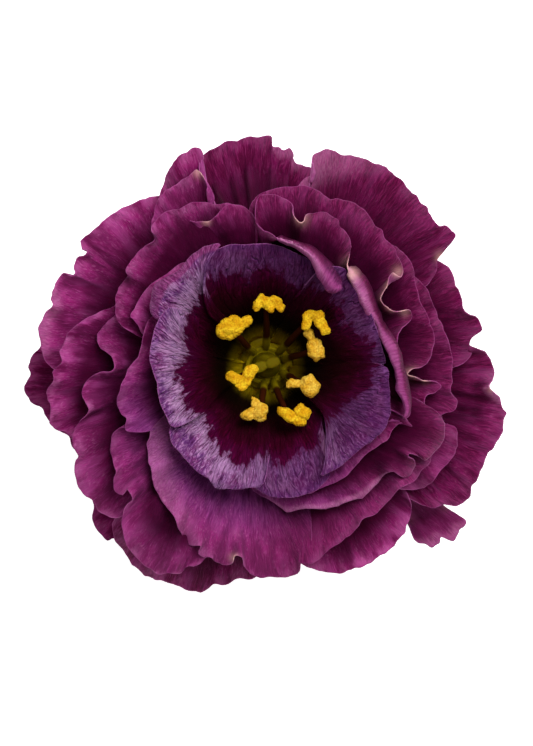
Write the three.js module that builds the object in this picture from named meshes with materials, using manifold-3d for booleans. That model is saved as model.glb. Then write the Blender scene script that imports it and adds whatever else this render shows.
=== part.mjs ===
// A double lisianthus bloom, cut short under its calyx and lying face up.
// Z is up, and the surface that it lies on is at z = 0.
import * as THREE from "three";
import { mergeVertices } from "three/addons/utils/BufferGeometryUtils.js";
import Module from "manifold-3d";

const wasm = await Module();
wasm.setup();

// Driving dimensions, in millimetres unless a name says degrees.
const CUP_RADIUS = 22;
const CUP_HEIGHT = 41;
const BLOOM_RADIUS = 44;
const BLOOM_DROP = 31;
const FOOT_INNER = { radius: 4.3, height: 13 };
const FOOT_OUTER = { radius: 10.6, height: 5.5 };
const PETAL_THICKNESS = 0.65;
const CLAW_SHARE = 0.45;
const TUCK_DEGREES = 8;
const TUCK_NARROWING = 0.3;
const ROLL_NARROWING = 0.02;
const RIM_BEND = { length: 4.5, radius: 12 };
const RUFFLE_LIMIT = 2;
const FRILL_HEIGHT = 0.9;
const FRILL_LENGTH = 9;
const SMOOTHING = { crisp: 0.5, smooth: 6 };
const SEAT_GAP = 0.3;
const STALK_RADIUS = 2;
const STALK_LENGTH = 2.6;

// Rows of a petal, from its foot (0) to its margin (1), with the share of the margin's columns in each.
const ROWS = [
  { along: 0, columns: 0.25 },
  { along: 0.12, columns: 0.25 },
  { along: 0.28, columns: 0.5 },
  { along: 0.46, columns: 0.5 },
  { along: 0.66, columns: 1 },
  { along: 0.84, columns: 1 },
  { along: 1, columns: 1 },
];
const ROLL_ROWS = [
  { along: 0.9, columns: 1 },
  { along: 0.95, columns: 1 },
];
const ROLL_START = 0.82;
const ROLL_EASE_DEGREES = 7;
const COLUMN_WIDTH = 3;

// Petals, each with the depth of its two ends in the bloom, 0 in the cup and 1 outermost, and the points of
// its margin as degrees and radius. Degrees run anticlockwise seen from above.
const PETALS = {
  cup_right: {
    depth: [0.12, -0.02],
    tuck: 5,
    rim: [[1, 21.5], [6, 21.3], [17, 21], [27, 21.2], [39, 21.8], [46, 22.1], [54, 22.5], [59, 22.5]],
  },
  cup_top: {
    depth: [0.11, 0.11],
    tuck: 4,
    rim: [[55, 20.6], [69, 20.6], [76, 20.9], [83, 21.5], [94, 21.9], [101, 22.1], [107, 22.6], [120, 22.4]],
  },
  cup_upper_left: {
    depth: [-0.03, 0.12],
    tuck: 5,
    rim: [[110, 23.6], [120, 24.1], [126, 23.9], [131, 23.2], [137, 23.6], [145, 24.7], [155, 23.2]],
  },
  cup_left: {
    depth: [-0.04, -0.04],
    tuck: 5,
    rim: [[150, 20.5], [161, 21], [177, 21], [189, 19.8], [195, 20.1], [209, 20.2], [213, 20.2]],
  },
  cup_lower_left: {
    depth: [0.12, -0.04],
    tuck: 5,
    rim: [
      [215, 21.3], [225, 22.1], [237, 22.8], [243, 23], [248, 24], [252, 23.5], [257, 23.1], [262, 22.3],
      [267, 22],
    ],
  },
  cup_bottom: {
    depth: [0.11, 0.11],
    tuck: 4,
    rim: [[266, 22.5], [273, 23.8], [278, 24.1], [285, 24.3], [292, 24.2], [300, 22.9]],
  },
  cup_lower_right: {
    depth: [-0.04, -0.04],
    tuck: 5,
    rim: [
      [298, 22.9], [305, 23.8], [311, 23.2], [319, 23.1], [327, 23.2], [334, 23.7], [339, 24], [345, 23.3],
      [352, 22.4], [358, 21.9],
    ],
  },
  top_curled: {
    depth: [0.22, 0.22],
    tuck: 3,
    rim: [
      [50, 24.2], [60, 24], [70, 23.7], [81, 23.6], [88, 23.9], [92, 24.6], [94.5, 26.6], [96, 27.9],
      [98.6, 28.9], [102, 29.4], [105, 29.4], [108, 28.6], [111, 27.8], [114, 28.1], [117, 28.5], [117, 29.4],
      [115, 30.3], [112, 30.9],
    ],
    roll: { from: 39, to: 90, inward: [5.2, 2], rise: 5.2 },
  },
  upper_right_curled: {
    depth: [0.27, 0.35],
    tuck: 3,
    rim: [
      [3, 23], [13, 22.8], [25, 22.8], [36, 23.4], [45, 24.6], [51.4, 25.3], [53, 25.6], [54.5, 26.2],
      [56, 27.2], [59, 27.8], [62, 28.1], [63, 28.9], [65.5, 29.4], [68, 29.5], [71, 29.2], [73, 28.6],
      [75, 27.7], [76.4, 26.2], [79, 26.8], [80.5, 27.9], [80.6, 28.9], [82, 29.8], [85, 30.4], [87, 30.8],
      [92, 30.6],
    ],
    roll: { from: -8, to: 54, inward: [2, 2], rise: 5.4 },
  },
  left_upper_inner: {
    depth: [0.33, 0.35],
    rim: [[130, 24], [140, 24.6], [145, 25.2], [150, 25.6], [156, 25.7], [160, 25.9], [163, 24]],
  },
  left_inner: {
    depth: [0.25, 0.22],
    rim: [
      [150, 20.5], [155, 21.9], [159, 22.6], [164, 22.6], [169, 22.4], [173.5, 22.7], [179, 24], [182, 25],
      [186, 25.8], [189, 26.6], [193, 27.5], [196.5, 27.9], [199.4, 27.3], [200.4, 26.7], [203, 27.3],
      [204.4, 27.8],
    ],
  },
  bottom_large: {
    depth: [0.33, 0.46],
    rim: [
      [212.5, 24.7], [218, 27], [226, 29.1], [230, 30.2], [235, 31.3], [240, 32.3], [245, 34.7], [248, 35.2],
      [250, 34.7], [252, 36.3], [254, 35.9], [256, 36.8], [259, 36.8], [260, 35], [262, 34.6], [264, 36.4],
      [266, 37.6], [268, 38.2], [273, 38.5], [277, 38.1], [279, 37.7], [279.8, 36.3],
    ],
  },
  bottom_right_inner: {
    depth: [0.56, 0.47],
    rim: [
      [280, 36.3], [283, 36.6], [286, 36], [288, 35.4], [294, 34.4], [302, 32.8], [306, 33.3], [312.5, 32.9],
      [317, 32.7], [322, 34], [327, 34], [330, 34.3],
    ],
  },
  lower_right_inner: {
    depth: [0.24, 0.22],
    tuck: 4,
    rim: [
      [288, 24.4], [295, 24.2], [300, 24.5], [305, 24.6], [310, 24.3], [320, 24.3], [324, 24.9], [329, 25.7],
      [333, 25.7], [336.7, 26.6], [337, 28.6],
    ],
  },
  lower_right_curled: {
    depth: [0.34, 0.42],
    rim: [
      [267, 23.4], [271, 24.3], [275, 25.8], [278, 26.8], [286, 27.1], [291.5, 27.8], [296, 28.5],
      [302, 28.8], [306, 29.6], [314, 29.3], [318, 29.2], [320, 29.9], [321, 32.1], [323, 32.6], [326, 32.4],
      [327, 30.7], [328, 30.2], [329, 32.4], [331, 33.8], [335, 34.5], [341, 34],
    ],
  },
  upper_left_middle: {
    depth: [0.42, 0.45],
    rim: [
      [103.6, 30.1], [107, 30.2], [110, 31.2], [115, 32.2], [119, 32.3], [123.5, 33.1], [127, 32.8],
      [130, 32], [130.3, 30.4], [134, 30.3], [139, 30.8], [143, 30.7], [147, 29.6], [150, 30], [155, 29.9],
      [158, 29.3], [161, 28.6],
    ],
  },
  left_middle: {
    depth: [0.53, 0.65],
    rim: [
      [161.6, 28.6], [164, 29.5], [167, 30.3], [171, 30.8], [174, 30.1], [176, 28.4], [178, 27.5],
      [181, 27.3], [182.5, 28.7], [183.4, 31.1], [185, 32.4], [188, 33.5], [191, 33.5], [194, 32.9],
      [195.5, 33.5], [197.7, 35.8], [201, 37.3], [204, 37.7], [206, 37.6], [209, 39.3], [214.6, 40.1],
      [220, 39.8], [223, 39.7],
    ],
  },
  lower_left_middle: {
    depth: [0.47, 0.52],
    rim: [
      [204, 27.5], [205, 30.5], [208.5, 32], [212, 32.6], [216.7, 33], [219.7, 35.2], [222.5, 34.4],
      [226, 34.5], [226.8, 36], [227.6, 37.6], [229.3, 39.2], [232, 40.9], [235, 41.7], [238.5, 42.2],
      [242, 42.2], [245, 41.5], [247.7, 40.4], [248.6, 39.2],
    ],
  },
  upper_right_middle: {
    depth: [0.3, 0.52],
    rim: [
      [-18.7, 27.5], [-11.4, 26.3], [-5, 25.3], [1.3, 23.9], [5, 24], [11.4, 24.3], [15, 25.3], [16.7, 26.8],
      [18.4, 27.8], [20.7, 27.7], [21.5, 26], [23, 24.9], [27, 23.8], [30, 23.7], [32, 24.7], [33.7, 26.2],
      [35, 28.7], [36.4, 30.5], [39, 30.7], [42.6, 31.1], [49, 31.9], [54, 32.4], [60, 33], [63, 33],
      [67, 32.6], [69, 32.1], [73, 32.8], [78, 32.9], [85, 32.2], [92, 30.7],
    ],
  },
  right_inner: {
    depth: [0.55, 0.57],
    rim: [
      [-17.6, 32.1], [-15.4, 30], [-13.2, 29.4], [-10.7, 29.4], [-9.5, 30.8], [-7.6, 31.6], [-6.3, 31.5],
      [-5.5, 30.6], [-4.7, 27], [-4, 25.5], [-1.5, 26.4], [-1, 27.9], [1, 29.2], [5, 30.1], [9, 30.6],
      [18, 30.4], [28, 30.4], [31, 31.2], [34, 31.7], [38, 32.1], [44, 31.3],
    ],
  },
  right_middle: {
    depth: [0.65, 0.67],
    rim: [
      [-17.6, 32.1], [-15.4, 33.1], [-14.2, 34.5], [-12.3, 35.1], [-10, 34.9], [-8, 33.5], [-4, 33.6],
      [3, 33.6], [11, 32.5], [15, 32.3], [24.5, 32.1], [30.8, 31.3],
    ],
  },
  lower_right_middle: {
    depth: [0.68, 0.75],
    rim: [
      [317, 32.8], [320, 35.1], [322, 36.2], [325, 36.6], [330, 36.9], [336, 37.4], [339, 37.2], [341, 36.4],
      [342, 33.8],
    ],
  },
  upper_left_fold: {
    depth: [0.62, 0.62],
    rim: [
      [108.3, 30.9], [108.5, 34.1], [109, 36.3], [109.6, 37.5], [112.5, 36.9], [115, 36.6], [118, 36.1],
      [121, 36], [124, 35.1], [126.6, 33.7],
    ],
  },
  upper_left_back: {
    depth: [0.76, 0.72],
    rim: [
      [105.7, 39.3], [107, 41.1], [109, 41.4], [110.5, 40.9], [113, 40.6], [115, 39.9], [118, 38.5],
      [121.8, 36.2],
    ],
  },
  top_back: {
    depth: [0.92, 0.97],
    rim: [
      [76, 36.6], [80, 36.7], [82, 38.2], [84, 39], [86.3, 39.1], [87.5, 39.1], [88.5, 41.1], [92, 40.9],
      [94, 41.3], [97, 40.8], [100, 40.5], [105.6, 39.5],
    ],
    droop: 20,
  },
  upper_right_back: {
    depth: [0.77, 0.72],
    rim: [
      [31.5, 36.1], [32.6, 37.3], [33.7, 40.2], [34.4, 41.3], [38, 41], [38.7, 40.1], [43, 40.1], [48.5, 41],
      [54, 41.3], [59, 41.6], [64, 41.1], [67, 40.9], [70, 40.2], [74.3, 40.3], [77.3, 38.6],
    ],
  },
  right_back: {
    depth: [0.8, 0.88],
    rim: [
      [3.9, 37.3], [4.8, 36.8], [6.7, 37.1], [9.3, 39.1], [11.5, 39.1], [13, 38.7], [15.5, 36.9], [20, 37.2],
      [25, 37.4], [29.7, 36.6], [31.5, 36.1],
    ],
  },
  right_lower_back: {
    depth: [0.85, 0.95],
    rim: [
      [-37.3, 40.6], [-36, 42.6], [-32.5, 43.6], [-28.7, 43.6], [-26.7, 43], [-22, 42.8], [-19, 43.3],
      [-15.5, 44], [-11.4, 44], [-10, 43.1], [-8, 42.7], [-6.8, 41.7], [-5, 39.9], [-3.8, 40.8],
      [-1.7, 41.1], [1, 40.4], [4.5, 39],
    ],
  },
  lower_right_lobed: {
    depth: [1, 1],
    tuck: 3,
    rim: [
      [312, 38], [311.8, 40.2], [310.4, 42], [312, 44.2], [314.5, 44.7], [315.5, 44], [316.8, 46],
      [321, 45.9], [322.2, 45.5], [320.6, 40.6],
    ],
    droop: 17,
  },
  bottom_right_back: {
    depth: [0.82, 0.78],
    rim: [
      [280, 36.3], [282, 37.3], [285, 38.4], [291, 39.9], [297, 40.3], [302, 40.2], [306.5, 39.8],
      [311, 38.5], [313, 38],
    ],
  },
  bottom_back: {
    depth: [0.9, 0.9],
    rim: [
      [229, 41.6], [235, 43], [238, 43.4], [240.4, 43.7], [245, 43], [251, 42.8], [254, 42.6], [256.7, 40.5],
      [260, 40], [264.7, 38.9], [266.9, 38.3],
    ],
    droop: 8,
  },
  lower_left_tip: {
    depth: [1, 1],
    rim: [[219, 39.6], [221, 41.4], [223, 42], [225, 42.3], [228, 42.3], [230, 40.8]],
    droop: 17,
  },
  left_back_upper: {
    depth: [0.84, 0.8],
    rim: [
      [121.8, 36.2], [124.5, 36.8], [131, 38.1], [138, 39.1], [145, 40.1], [148, 39], [150.5, 39.2],
      [152.8, 39], [154, 38.1], [155.8, 40.1], [157.5, 40.8], [162, 40.7], [164, 39.6], [166, 40.5],
      [171, 41.3], [174, 40.9], [177.8, 40.1],
    ],
  },
  left_back_middle: {
    depth: [0.6, 0.7],
    rim: [
      [158.4, 29.3], [162.5, 31.8], [165.7, 33.6], [169, 35.2], [172, 36.4], [177, 37.3], [179, 36.9],
      [182, 38.3], [186.4, 39.6], [188, 39.8], [190.6, 39.2], [193, 40], [195, 40.3], [198, 38.4],
    ],
  },
  left_back_lower: {
    depth: [0.97, 0.97],
    rim: [
      [176.4, 41.1], [178, 42], [182.3, 42.3], [185, 43.3], [187.6, 43.3], [190, 42.4], [193, 41],
      [197.8, 39.4], [202.6, 37.7],
    ],
    droop: 17.5,
  },
};

// Anthers, clockwise from the upper left, each as lobes: centre x, y, length, width and direction in degrees.
const ANTHERS = [
  { height: 31, lobes: [[-6.3, 6.7, 5.2, 3.7, 30], [-3.5, 8, 3, 2, 35]] },
  { height: 31.5, lobes: [[0, 11.1, 3.8, 2.1, -50], [-1.7, 10.4, 2.8, 1.7, 50], [2.1, 10.9, 3.3, 1.7, -48]] },
  { height: 34, lobes: [[8.7, 8.8, 3.2, 2.1, 0], [7.4, 8.1, 3.7, 1.9, 80], [9.9, 7.3, 4.4, 1.9, -58]] },
  { height: 31, lobes: [[8.9, 2.8, 4.4, 3.2, -65], [7.9, 5, 3.4, 1.7, -65]] },
  { height: 30.5, lobes: [[7.8, -3.8, 4, 3.4, -50], [5.1, -3.4, 3.2, 1.7, 5]] },
  { height: 31, lobes: [[3.8, -8.9, 4.4, 2, -30], [6.7, -8.4, 3.1, 2.4, -40], [6, -9.9, 2.4, 1.9, 0]] },
  { height: 30.5, lobes: [[-1, -8.6, 3.5, 2.8, 60], [-3, -8.9, 2.9, 2.2, 20], [-1.9, -6.8, 2.6, 1.5, -70]] },
  {
    height: 29.5,
    lobes: [[-5.4, -2.4, 3.8, 1.9, -20], [-3.1, -1.9, 4.7, 2.2, 60], [-4.2, -3.6, 2.4, 1.6, 30]],
  },
];
const LOBE_FLATNESS = 0.42;
const FILAMENT_RADIUS = 0.6;
const FILAMENT_RING = { inner: 2.8, outer: 3.7, bottom: 13.45, top: 14.3 };
const PISTIL_OUTLINE = [
  [0, 13.4], [2, 13.4], [2.4, 14.4], [2.4, 16.4], [1.8, 18.8], [0.9, 20.4], [0.8, 22.8], [0, 22.8],
];
const STIGMA_LOBES = [[1.2, 0.4, 2.8, 2, 20], [-1.2, -0.4, 2.8, 2, 20]];
const STIGMA_HEIGHT = 23;
const SEPAL = {
  count: 5, firstDegrees: 54, rootRadius: 6.5, tipRadius: 26, rootHeight: 4.2, arch: 1.1, width: 3.4,
  thickness: 0.9,
};

const clamp = (value, low, high) => Math.min(high, Math.max(low, value));
const mix = (a, b, share) => a + (b - a) * share;
const { smoothstep } = THREE.MathUtils;
const radians = (degrees) => (degrees * Math.PI) / 180;

// A point given by its angle, its distance from the middle and its height.
function polar(degrees, radius, height) {
  const angle = radians(degrees);
  return new THREE.Vector3(radius * Math.cos(angle), radius * Math.sin(angle), height);
}

// Where the petals at one depth stand on the receptacle.
function footAt(depth) {
  return {
    radius: mix(FOOT_INNER.radius, FOOT_OUTER.radius, depth),
    height: mix(FOOT_INNER.height, FOOT_OUTER.height, depth),
  };
}

// Height of the bell at one depth, at a distance from the middle. The bells are nested and never meet: each
// rises from the receptacle, levels out at its own radius and bends down past it.
function bellHeight(depth, radius) {
  const foot = footAt(depth);
  const rimRadius = mix(CUP_RADIUS, BLOOM_RADIUS, depth);
  const rimHeight = CUP_HEIGHT - BLOOM_DROP * (0.26 * depth + 0.74 * depth ** 2);
  const flare = 1.35 + 1.65 * depth;
  const share = clamp((radius - foot.radius) / (rimRadius - foot.radius), 0, 1);
  const past = Math.max(0, radius - rimRadius);
  const curved = Math.min(past, RIM_BEND.length);
  const drop = (curved ** 2 / 2 + (past - curved) * RIM_BEND.length) / RIM_BEND.radius;
  return foot.height + (rimHeight - foot.height) * (1 - (1 - share) ** flare) - drop;
}

// The margin's points that go forward round the bloom, with a tucked end added on each side.
function marginOf(petal) {
  const forward = petal.rim.filter(([degrees], i) =>
    petal.rim.slice(0, i).every(([before]) => before < degrees),
  );
  const [first, last] = [forward[0], forward[forward.length - 1]];
  const tuck = petal.tuck ?? TUCK_DEGREES;
  const shares = [0.35, 0.75, 1];
  const tucked = ([degrees, radius], turn, narrowing) =>
    shares.map((share) => [degrees + share * turn, radius * (1 - narrowing * share ** 2)]);
  return [
    ...tucked(first, -tuck, petal.roll ? ROLL_NARROWING : TUCK_NARROWING).reverse(),
    ...forward,
    ...tucked(last, tuck, TUCK_NARROWING),
  ].map(([degrees, radius]) => ({ degrees, radius }));
}

function marginLength(margin) {
  const places = margin.map(({ degrees, radius }) => polar(degrees, radius, 0));
  return places.slice(1).reduce((sum, place, i) => sum + place.distanceTo(places[i]), 0);
}

// Samples of a margin at even steps of its length, averaged over a stretch of it.
function sampleMargin(margin, count, stretch) {
  const places = margin.map(({ degrees, radius }) => polar(degrees, radius, 0));
  const lengths = [0];
  for (let i = 1; i < places.length; i++) lengths.push(lengths[i - 1] + places[i].distanceTo(places[i - 1]));
  const total = lengths[lengths.length - 1];
  const at = (length) => {
    const wanted = clamp(length, 0, total);
    const i = clamp(lengths.findIndex((l) => l >= wanted), 1, lengths.length - 1);
    const share = (wanted - lengths[i - 1]) / (lengths[i] - lengths[i - 1]);
    return {
      degrees: mix(margin[i - 1].degrees, margin[i].degrees, share),
      radius: mix(margin[i - 1].radius, margin[i].radius, share),
    };
  };
  return Array.from({ length: count + 1 }, (_, i) => {
    const sum = { degrees: 0, radius: 0, weight: 0 };
    for (let k = -6; k <= 6; k++) {
      const place = at((total * i) / count + (k / 6) * 2 * stretch);
      const weight = Math.exp(-2 * (k / 6) ** 2);
      sum.degrees += place.degrees * weight;
      sum.radius += place.radius * weight;
      sum.weight += weight;
    }
    return { degrees: sum.degrees / sum.weight, radius: sum.radius / sum.weight };
  });
}

// How far a rib takes part in a petal's roll, 0 outside the rolled stretch and 1 well inside it.
function rollShare(roll, degrees) {
  if (!roll) return 0;
  return (
    smoothstep(degrees, roll.from, roll.from + ROLL_EASE_DEGREES) *
    (1 - smoothstep(degrees, roll.to - ROLL_EASE_DEGREES, roll.to))
  );
}

// A petal's inner face: its point on the rib at column share u, from the foot, along = 0, to the margin, 1.
function petalFace(petal) {
  const margin = marginOf(petal);
  const fine = 96;
  const crisp = sampleMargin(margin, fine, SMOOTHING.crisp);
  const smooth = sampleMargin(margin, fine, SMOOTHING.smooth);
  const centre = (margin[0].degrees + margin[margin.length - 1].degrees) / 2;
  const waves = Math.round(marginLength(margin) / FRILL_LENGTH);
  const phase = margin[0].degrees;
  const roll = petal.roll ?? { from: 0, to: 1, inward: [0, 0], rise: 0 };
  return (u, along) => {
    const [rim, calm] = [crisp[Math.round(u * fine)], smooth[Math.round(u * fine)]];
    const depth = mix(petal.depth[0], petal.depth[1], u);
    const foot = footAt(depth);
    const edge = along ** 4;
    const spread = mix(CLAW_SHARE, 1, 1 - (1 - along) ** 1.6);
    const degrees = mix(centre, mix(calm.degrees, rim.degrees, edge), spread);

    const rolled = rollShare(petal.roll, rim.degrees);
    const body = mix(along, Math.min(1, along / ROLL_START), rolled);
    const bodyRadius = mix(foot.radius, mix(calm.radius, rim.radius, edge), body);
    const curl = rolled * Math.max(0, (along - ROLL_START) / (1 - ROLL_START));
    const rollPlace = clamp((rim.degrees - roll.from) / (roll.to - roll.from), 0, 1);
    const inward = mix(...roll.inward, rollPlace) * curl ** 1.5;
    const lift = roll.rise * Math.sin(0.58 * Math.PI * curl);

    const free = smoothstep(u, 0.05, 0.2) * (1 - smoothstep(u, 0.8, 0.95));
    const ruffle = clamp(calm.radius - rim.radius, -RUFFLE_LIMIT, RUFFLE_LIMIT);
    const frill = FRILL_HEIGHT * (0.3 + depth) * Math.sin(2 * Math.PI * waves * u + phase);
    const droop = (petal.droop ?? 0) * along ** 3;
    const height = bellHeight(depth, bodyRadius) + (ruffle + frill) * edge * free + lift - droop;
    return polar(degrees, bodyRadius - inward, height);
  };
}

// Triangles between two rows of points, where the second row has as many points or twice as many steps.
function stripBetween(rowA, rowB) {
  const triangles = [];
  const doubled = rowB.length > rowA.length;
  for (let i = 0; i + 1 < rowA.length; i++) {
    const [a, b] = [rowA[i], rowA[i + 1]];
    if (doubled) {
      const [c, d, e] = [rowB[2 * i], rowB[2 * i + 1], rowB[2 * i + 2]];
      triangles.push([a, d, c], [a, b, d], [b, e, d]);
    } else {
      triangles.push([a, b, rowB[i + 1]], [a, rowB[i + 1], rowB[i]]);
    }
  }
  return triangles;
}

// A closed solid between a face and the same face moved back along its normals, never below the surface that
// the bloom lies on.
function petalSolid(petal) {
  const face = petalFace(petal);
  const columns = 4 * clamp(Math.round(marginLength(marginOf(petal)) / COLUMN_WIDTH / 4), 2, 7);
  const front = [];
  const places = petal.roll ? [...ROWS.slice(0, -1), ...ROLL_ROWS, ROWS[ROWS.length - 1]] : ROWS;
  const rows = places.map((row) => {
    const steps = columns * row.columns;
    return Array.from({ length: steps + 1 }, (_, i) => front.push(face(i / steps, row.along)) - 1);
  });
  const triangles = rows.slice(1).flatMap((row, i) => stripBetween(rows[i], row));

  const normals = front.map(() => new THREE.Vector3());
  for (const triangle of triangles) {
    const [a, b, c] = triangle.map((i) => front[i]);
    const normal = new THREE.Vector3().crossVectors(b.clone().sub(a), c.clone().sub(a));
    for (const i of triangle) normals[i].add(normal);
  }
  const back = front.map((p, i) => p.clone().addScaledVector(normals[i].normalize(), PETAL_THICKNESS));
  for (const i of back.keys()) {
    if (back[i].z > 0) continue;
    back[i].z = 0;
    front[i].z = Math.max(front[i].z, PETAL_THICKNESS);
  }

  const outline = [
    ...rows[0],
    ...rows.slice(1, -1).map((row) => row[row.length - 1]),
    ...[...rows[rows.length - 1]].reverse(),
    ...rows.slice(1, -1).map((row) => row[0]).reverse(),
  ];
  const shift = front.length;
  const sides = outline.flatMap((a, i) => {
    const b = outline[(i + 1) % outline.length];
    return [[a, b, b + shift], [a, b + shift, a + shift]];
  });
  const frontFaces = triangles.map(([a, b, c]) => [a, c, b]);
  const backFaces = triangles.map(([a, b, c]) => [a + shift, b + shift, c + shift]);
  return solidFrom([...front, ...back], [...frontFaces, ...sides, ...backFaces]);
}

// A mesh geometry from points and triangles.
function solidFrom(points, triangles) {
  const geometry = new THREE.BufferGeometry();
  geometry.setAttribute("position", new THREE.Float32BufferAttribute(points.flatMap((p) => p.toArray()), 3));
  geometry.setIndex(triangles.flat());
  return geometry;
}

// Closed geometries joined in one.
function joined(geometries) {
  const solids = geometries.map((geometry) => {
    const plain = new THREE.BufferGeometry();
    plain.setAttribute("position", geometry.getAttribute("position"));
    plain.setIndex(geometry.getIndex());
    const merged = mergeVertices(plain, 1e-4);
    return new wasm.Manifold(
      new wasm.Mesh({
        numProp: 3,
        vertProperties: merged.getAttribute("position").array,
        triVerts: new Uint32Array(merged.getIndex().array),
      }),
    );
  });
  const mesh = solids.reduce((whole, next) => whole.add(next)).getMesh();
  const geometry = new THREE.BufferGeometry();
  geometry.setAttribute("position", new THREE.BufferAttribute(mesh.vertProperties, 3));
  geometry.setIndex(new THREE.BufferAttribute(mesh.triVerts, 1));
  return geometry;
}

// A solid turned round the Z axis from points of its half outline.
function turned(outline, sides) {
  const profile = outline.map(([radius, height]) => new THREE.Vector2(radius, height));
  return new THREE.LatheGeometry(profile, sides).rotateX(Math.PI / 2);
}

// One rounded lobe of an anther or stigma: centre x, y, length, width and direction, seen from above.
function lobe([x, y, length, width, degrees], height) {
  return new THREE.IcosahedronGeometry(1, 1)
    .scale(length / 2, width / 2, width * LOBE_FLATNESS)
    .rotateZ(radians(degrees))
    .translate(x, y, height);
}

function filamentTube(anther) {
  const [x, y] = anther.lobes[0];
  const angle = Math.atan2(y, x);
  const ringRadius = (FILAMENT_RING.inner + FILAMENT_RING.outer) / 2;
  const path = new THREE.QuadraticBezierCurve3(
    new THREE.Vector3(ringRadius * Math.cos(angle), ringRadius * Math.sin(angle), FILAMENT_RING.bottom + 0.3),
    new THREE.Vector3(x * 0.55, y * 0.55, mix(FILAMENT_RING.bottom, anther.height, 0.6)),
    new THREE.Vector3(x, y, anther.height - anther.lobes[0][3] * LOBE_FLATNESS - SEAT_GAP),
  );
  const section = new THREE.Shape().absarc(0, 0, FILAMENT_RADIUS, 0, 2 * Math.PI);
  return new THREE.ExtrudeGeometry(section, { extrudePath: path, steps: 5, curveSegments: 3 });
}

function filamentsSolid() {
  const { inner, outer, bottom, top } = FILAMENT_RING;
  const ring = turned([[inner, bottom], [outer, bottom], [outer, top], [inner, top], [inner, bottom]], 20);
  return joined([ring, ...ANTHERS.map(filamentTube)]);
}

function pistilSolid() {
  const body = turned(PISTIL_OUTLINE, 12);
  return joined([body, ...STIGMA_LOBES.map((shape) => lobe(shape, STIGMA_HEIGHT))]);
}

// A narrow keeled sepal, pointing outwards at an angle under the outermost petals.
function sepalSolid(degrees) {
  const stations = [0, 0.2, 0.45, 0.7, 0.88, 1];
  const across = polar(degrees + 90, 1, 0);
  const points = stations.flatMap((along) => {
    const radius = mix(SEPAL.rootRadius, SEPAL.tipRadius, along);
    const height = SEPAL.rootHeight + SEPAL.arch * Math.sin(Math.PI * 0.8 * along);
    const middle = polar(degrees, radius, height);
    const half = (SEPAL.width / 2) * (1 - 0.85 * along ** 2);
    const keel = SEPAL.thickness * (1 - 0.4 * along);
    return [
      middle.clone().addScaledVector(across, half),
      middle.clone().add(new THREE.Vector3(0, 0, -0.3 * keel)),
      middle.clone().addScaledVector(across, -half),
      middle.clone().add(new THREE.Vector3(0, 0, -1.3 * keel)),
    ].map((p, k) => (k % 2 ? p : p.add(new THREE.Vector3(0, 0, 0.2))));
  });
  const rings = stations.map((_, i) => [0, 1, 2, 3].map((k) => 4 * i + k));
  const triangles = rings.slice(1).flatMap((ring, i) =>
    [0, 1, 2, 3].flatMap((k) => {
      const [a, b, c, d] = [rings[i][k], rings[i][(k + 1) % 4], ring[(k + 1) % 4], ring[k]];
      return [[a, b, c], [a, c, d]];
    }),
  );
  const [root, tip] = [rings[0], rings[rings.length - 1]];
  triangles.push([root[0], root[3], root[1]], [root[1], root[3], root[2]]);
  triangles.push([tip[0], tip[1], tip[3]], [tip[1], tip[2], tip[3]]);
  return solidFrom(points, triangles);
}

function calyxSolid() {
  const top = footAt(-0.05);
  const outer = footAt(1);
  const receptacle = turned(
    [
      [0, 0],
      [STALK_RADIUS, 0],
      [STALK_RADIUS * 0.95, STALK_LENGTH],
      [STALK_RADIUS + 1.6, STALK_LENGTH + 0.7],
      [outer.radius - 1.6, outer.height - 1],
      [outer.radius - 0.6, outer.height - 0.4],
      [top.radius - 0.25, top.height - 0.22],
      [0, top.height - 0.22],
    ],
    30,
  );
  const step = 360 / SEPAL.count;
  const directions = Array.from({ length: SEPAL.count }, (_, i) => SEPAL.firstDegrees + step * i);
  const sepals = directions.map(sepalSolid);
  return joined([receptacle, ...sepals]);
}

const MATERIALS = {
  petal: new THREE.MeshStandardMaterial({ color: 0x78205a, roughness: 0.6 }),
  cupPetal: new THREE.MeshStandardMaterial({ color: 0x785596, roughness: 0.6 }),
  pollen: new THREE.MeshStandardMaterial({ color: 0xebbe14, roughness: 0.85 }),
  filament: new THREE.MeshStandardMaterial({ color: 0x4a1a14, roughness: 0.6 }),
  pistil: new THREE.MeshStandardMaterial({ color: 0x6a6f1e, roughness: 0.5 }),
  calyx: new THREE.MeshStandardMaterial({ color: 0x5d7f3a, roughness: 0.6 }),
};

const bloom = new THREE.Group();

function addPart(name, geometry, material) {
  const mesh = new THREE.Mesh(geometry, material.clone());
  mesh.name = name;
  bloom.add(mesh);
}

for (const [name, petal] of Object.entries(PETALS)) {
  addPart(name, petalSolid(petal), name.startsWith("cup_") ? MATERIALS.cupPetal : MATERIALS.petal);
}
ANTHERS.forEach((anther, i) => {
  const lobes = anther.lobes.map((shape) => lobe(shape, anther.height));
  addPart(`anther_${i + 1}`, joined(lobes), MATERIALS.pollen);
});
addPart("filaments", filamentsSolid(), MATERIALS.filament);
addPart("pistil", pistilSolid(), MATERIALS.pistil);
addPart("calyx", calyxSolid(), MATERIALS.calyx);

export default bloom;
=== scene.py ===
# A double lisianthus bloom, face up on a pale floor, seen straight from above.
import itertools
import math

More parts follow.
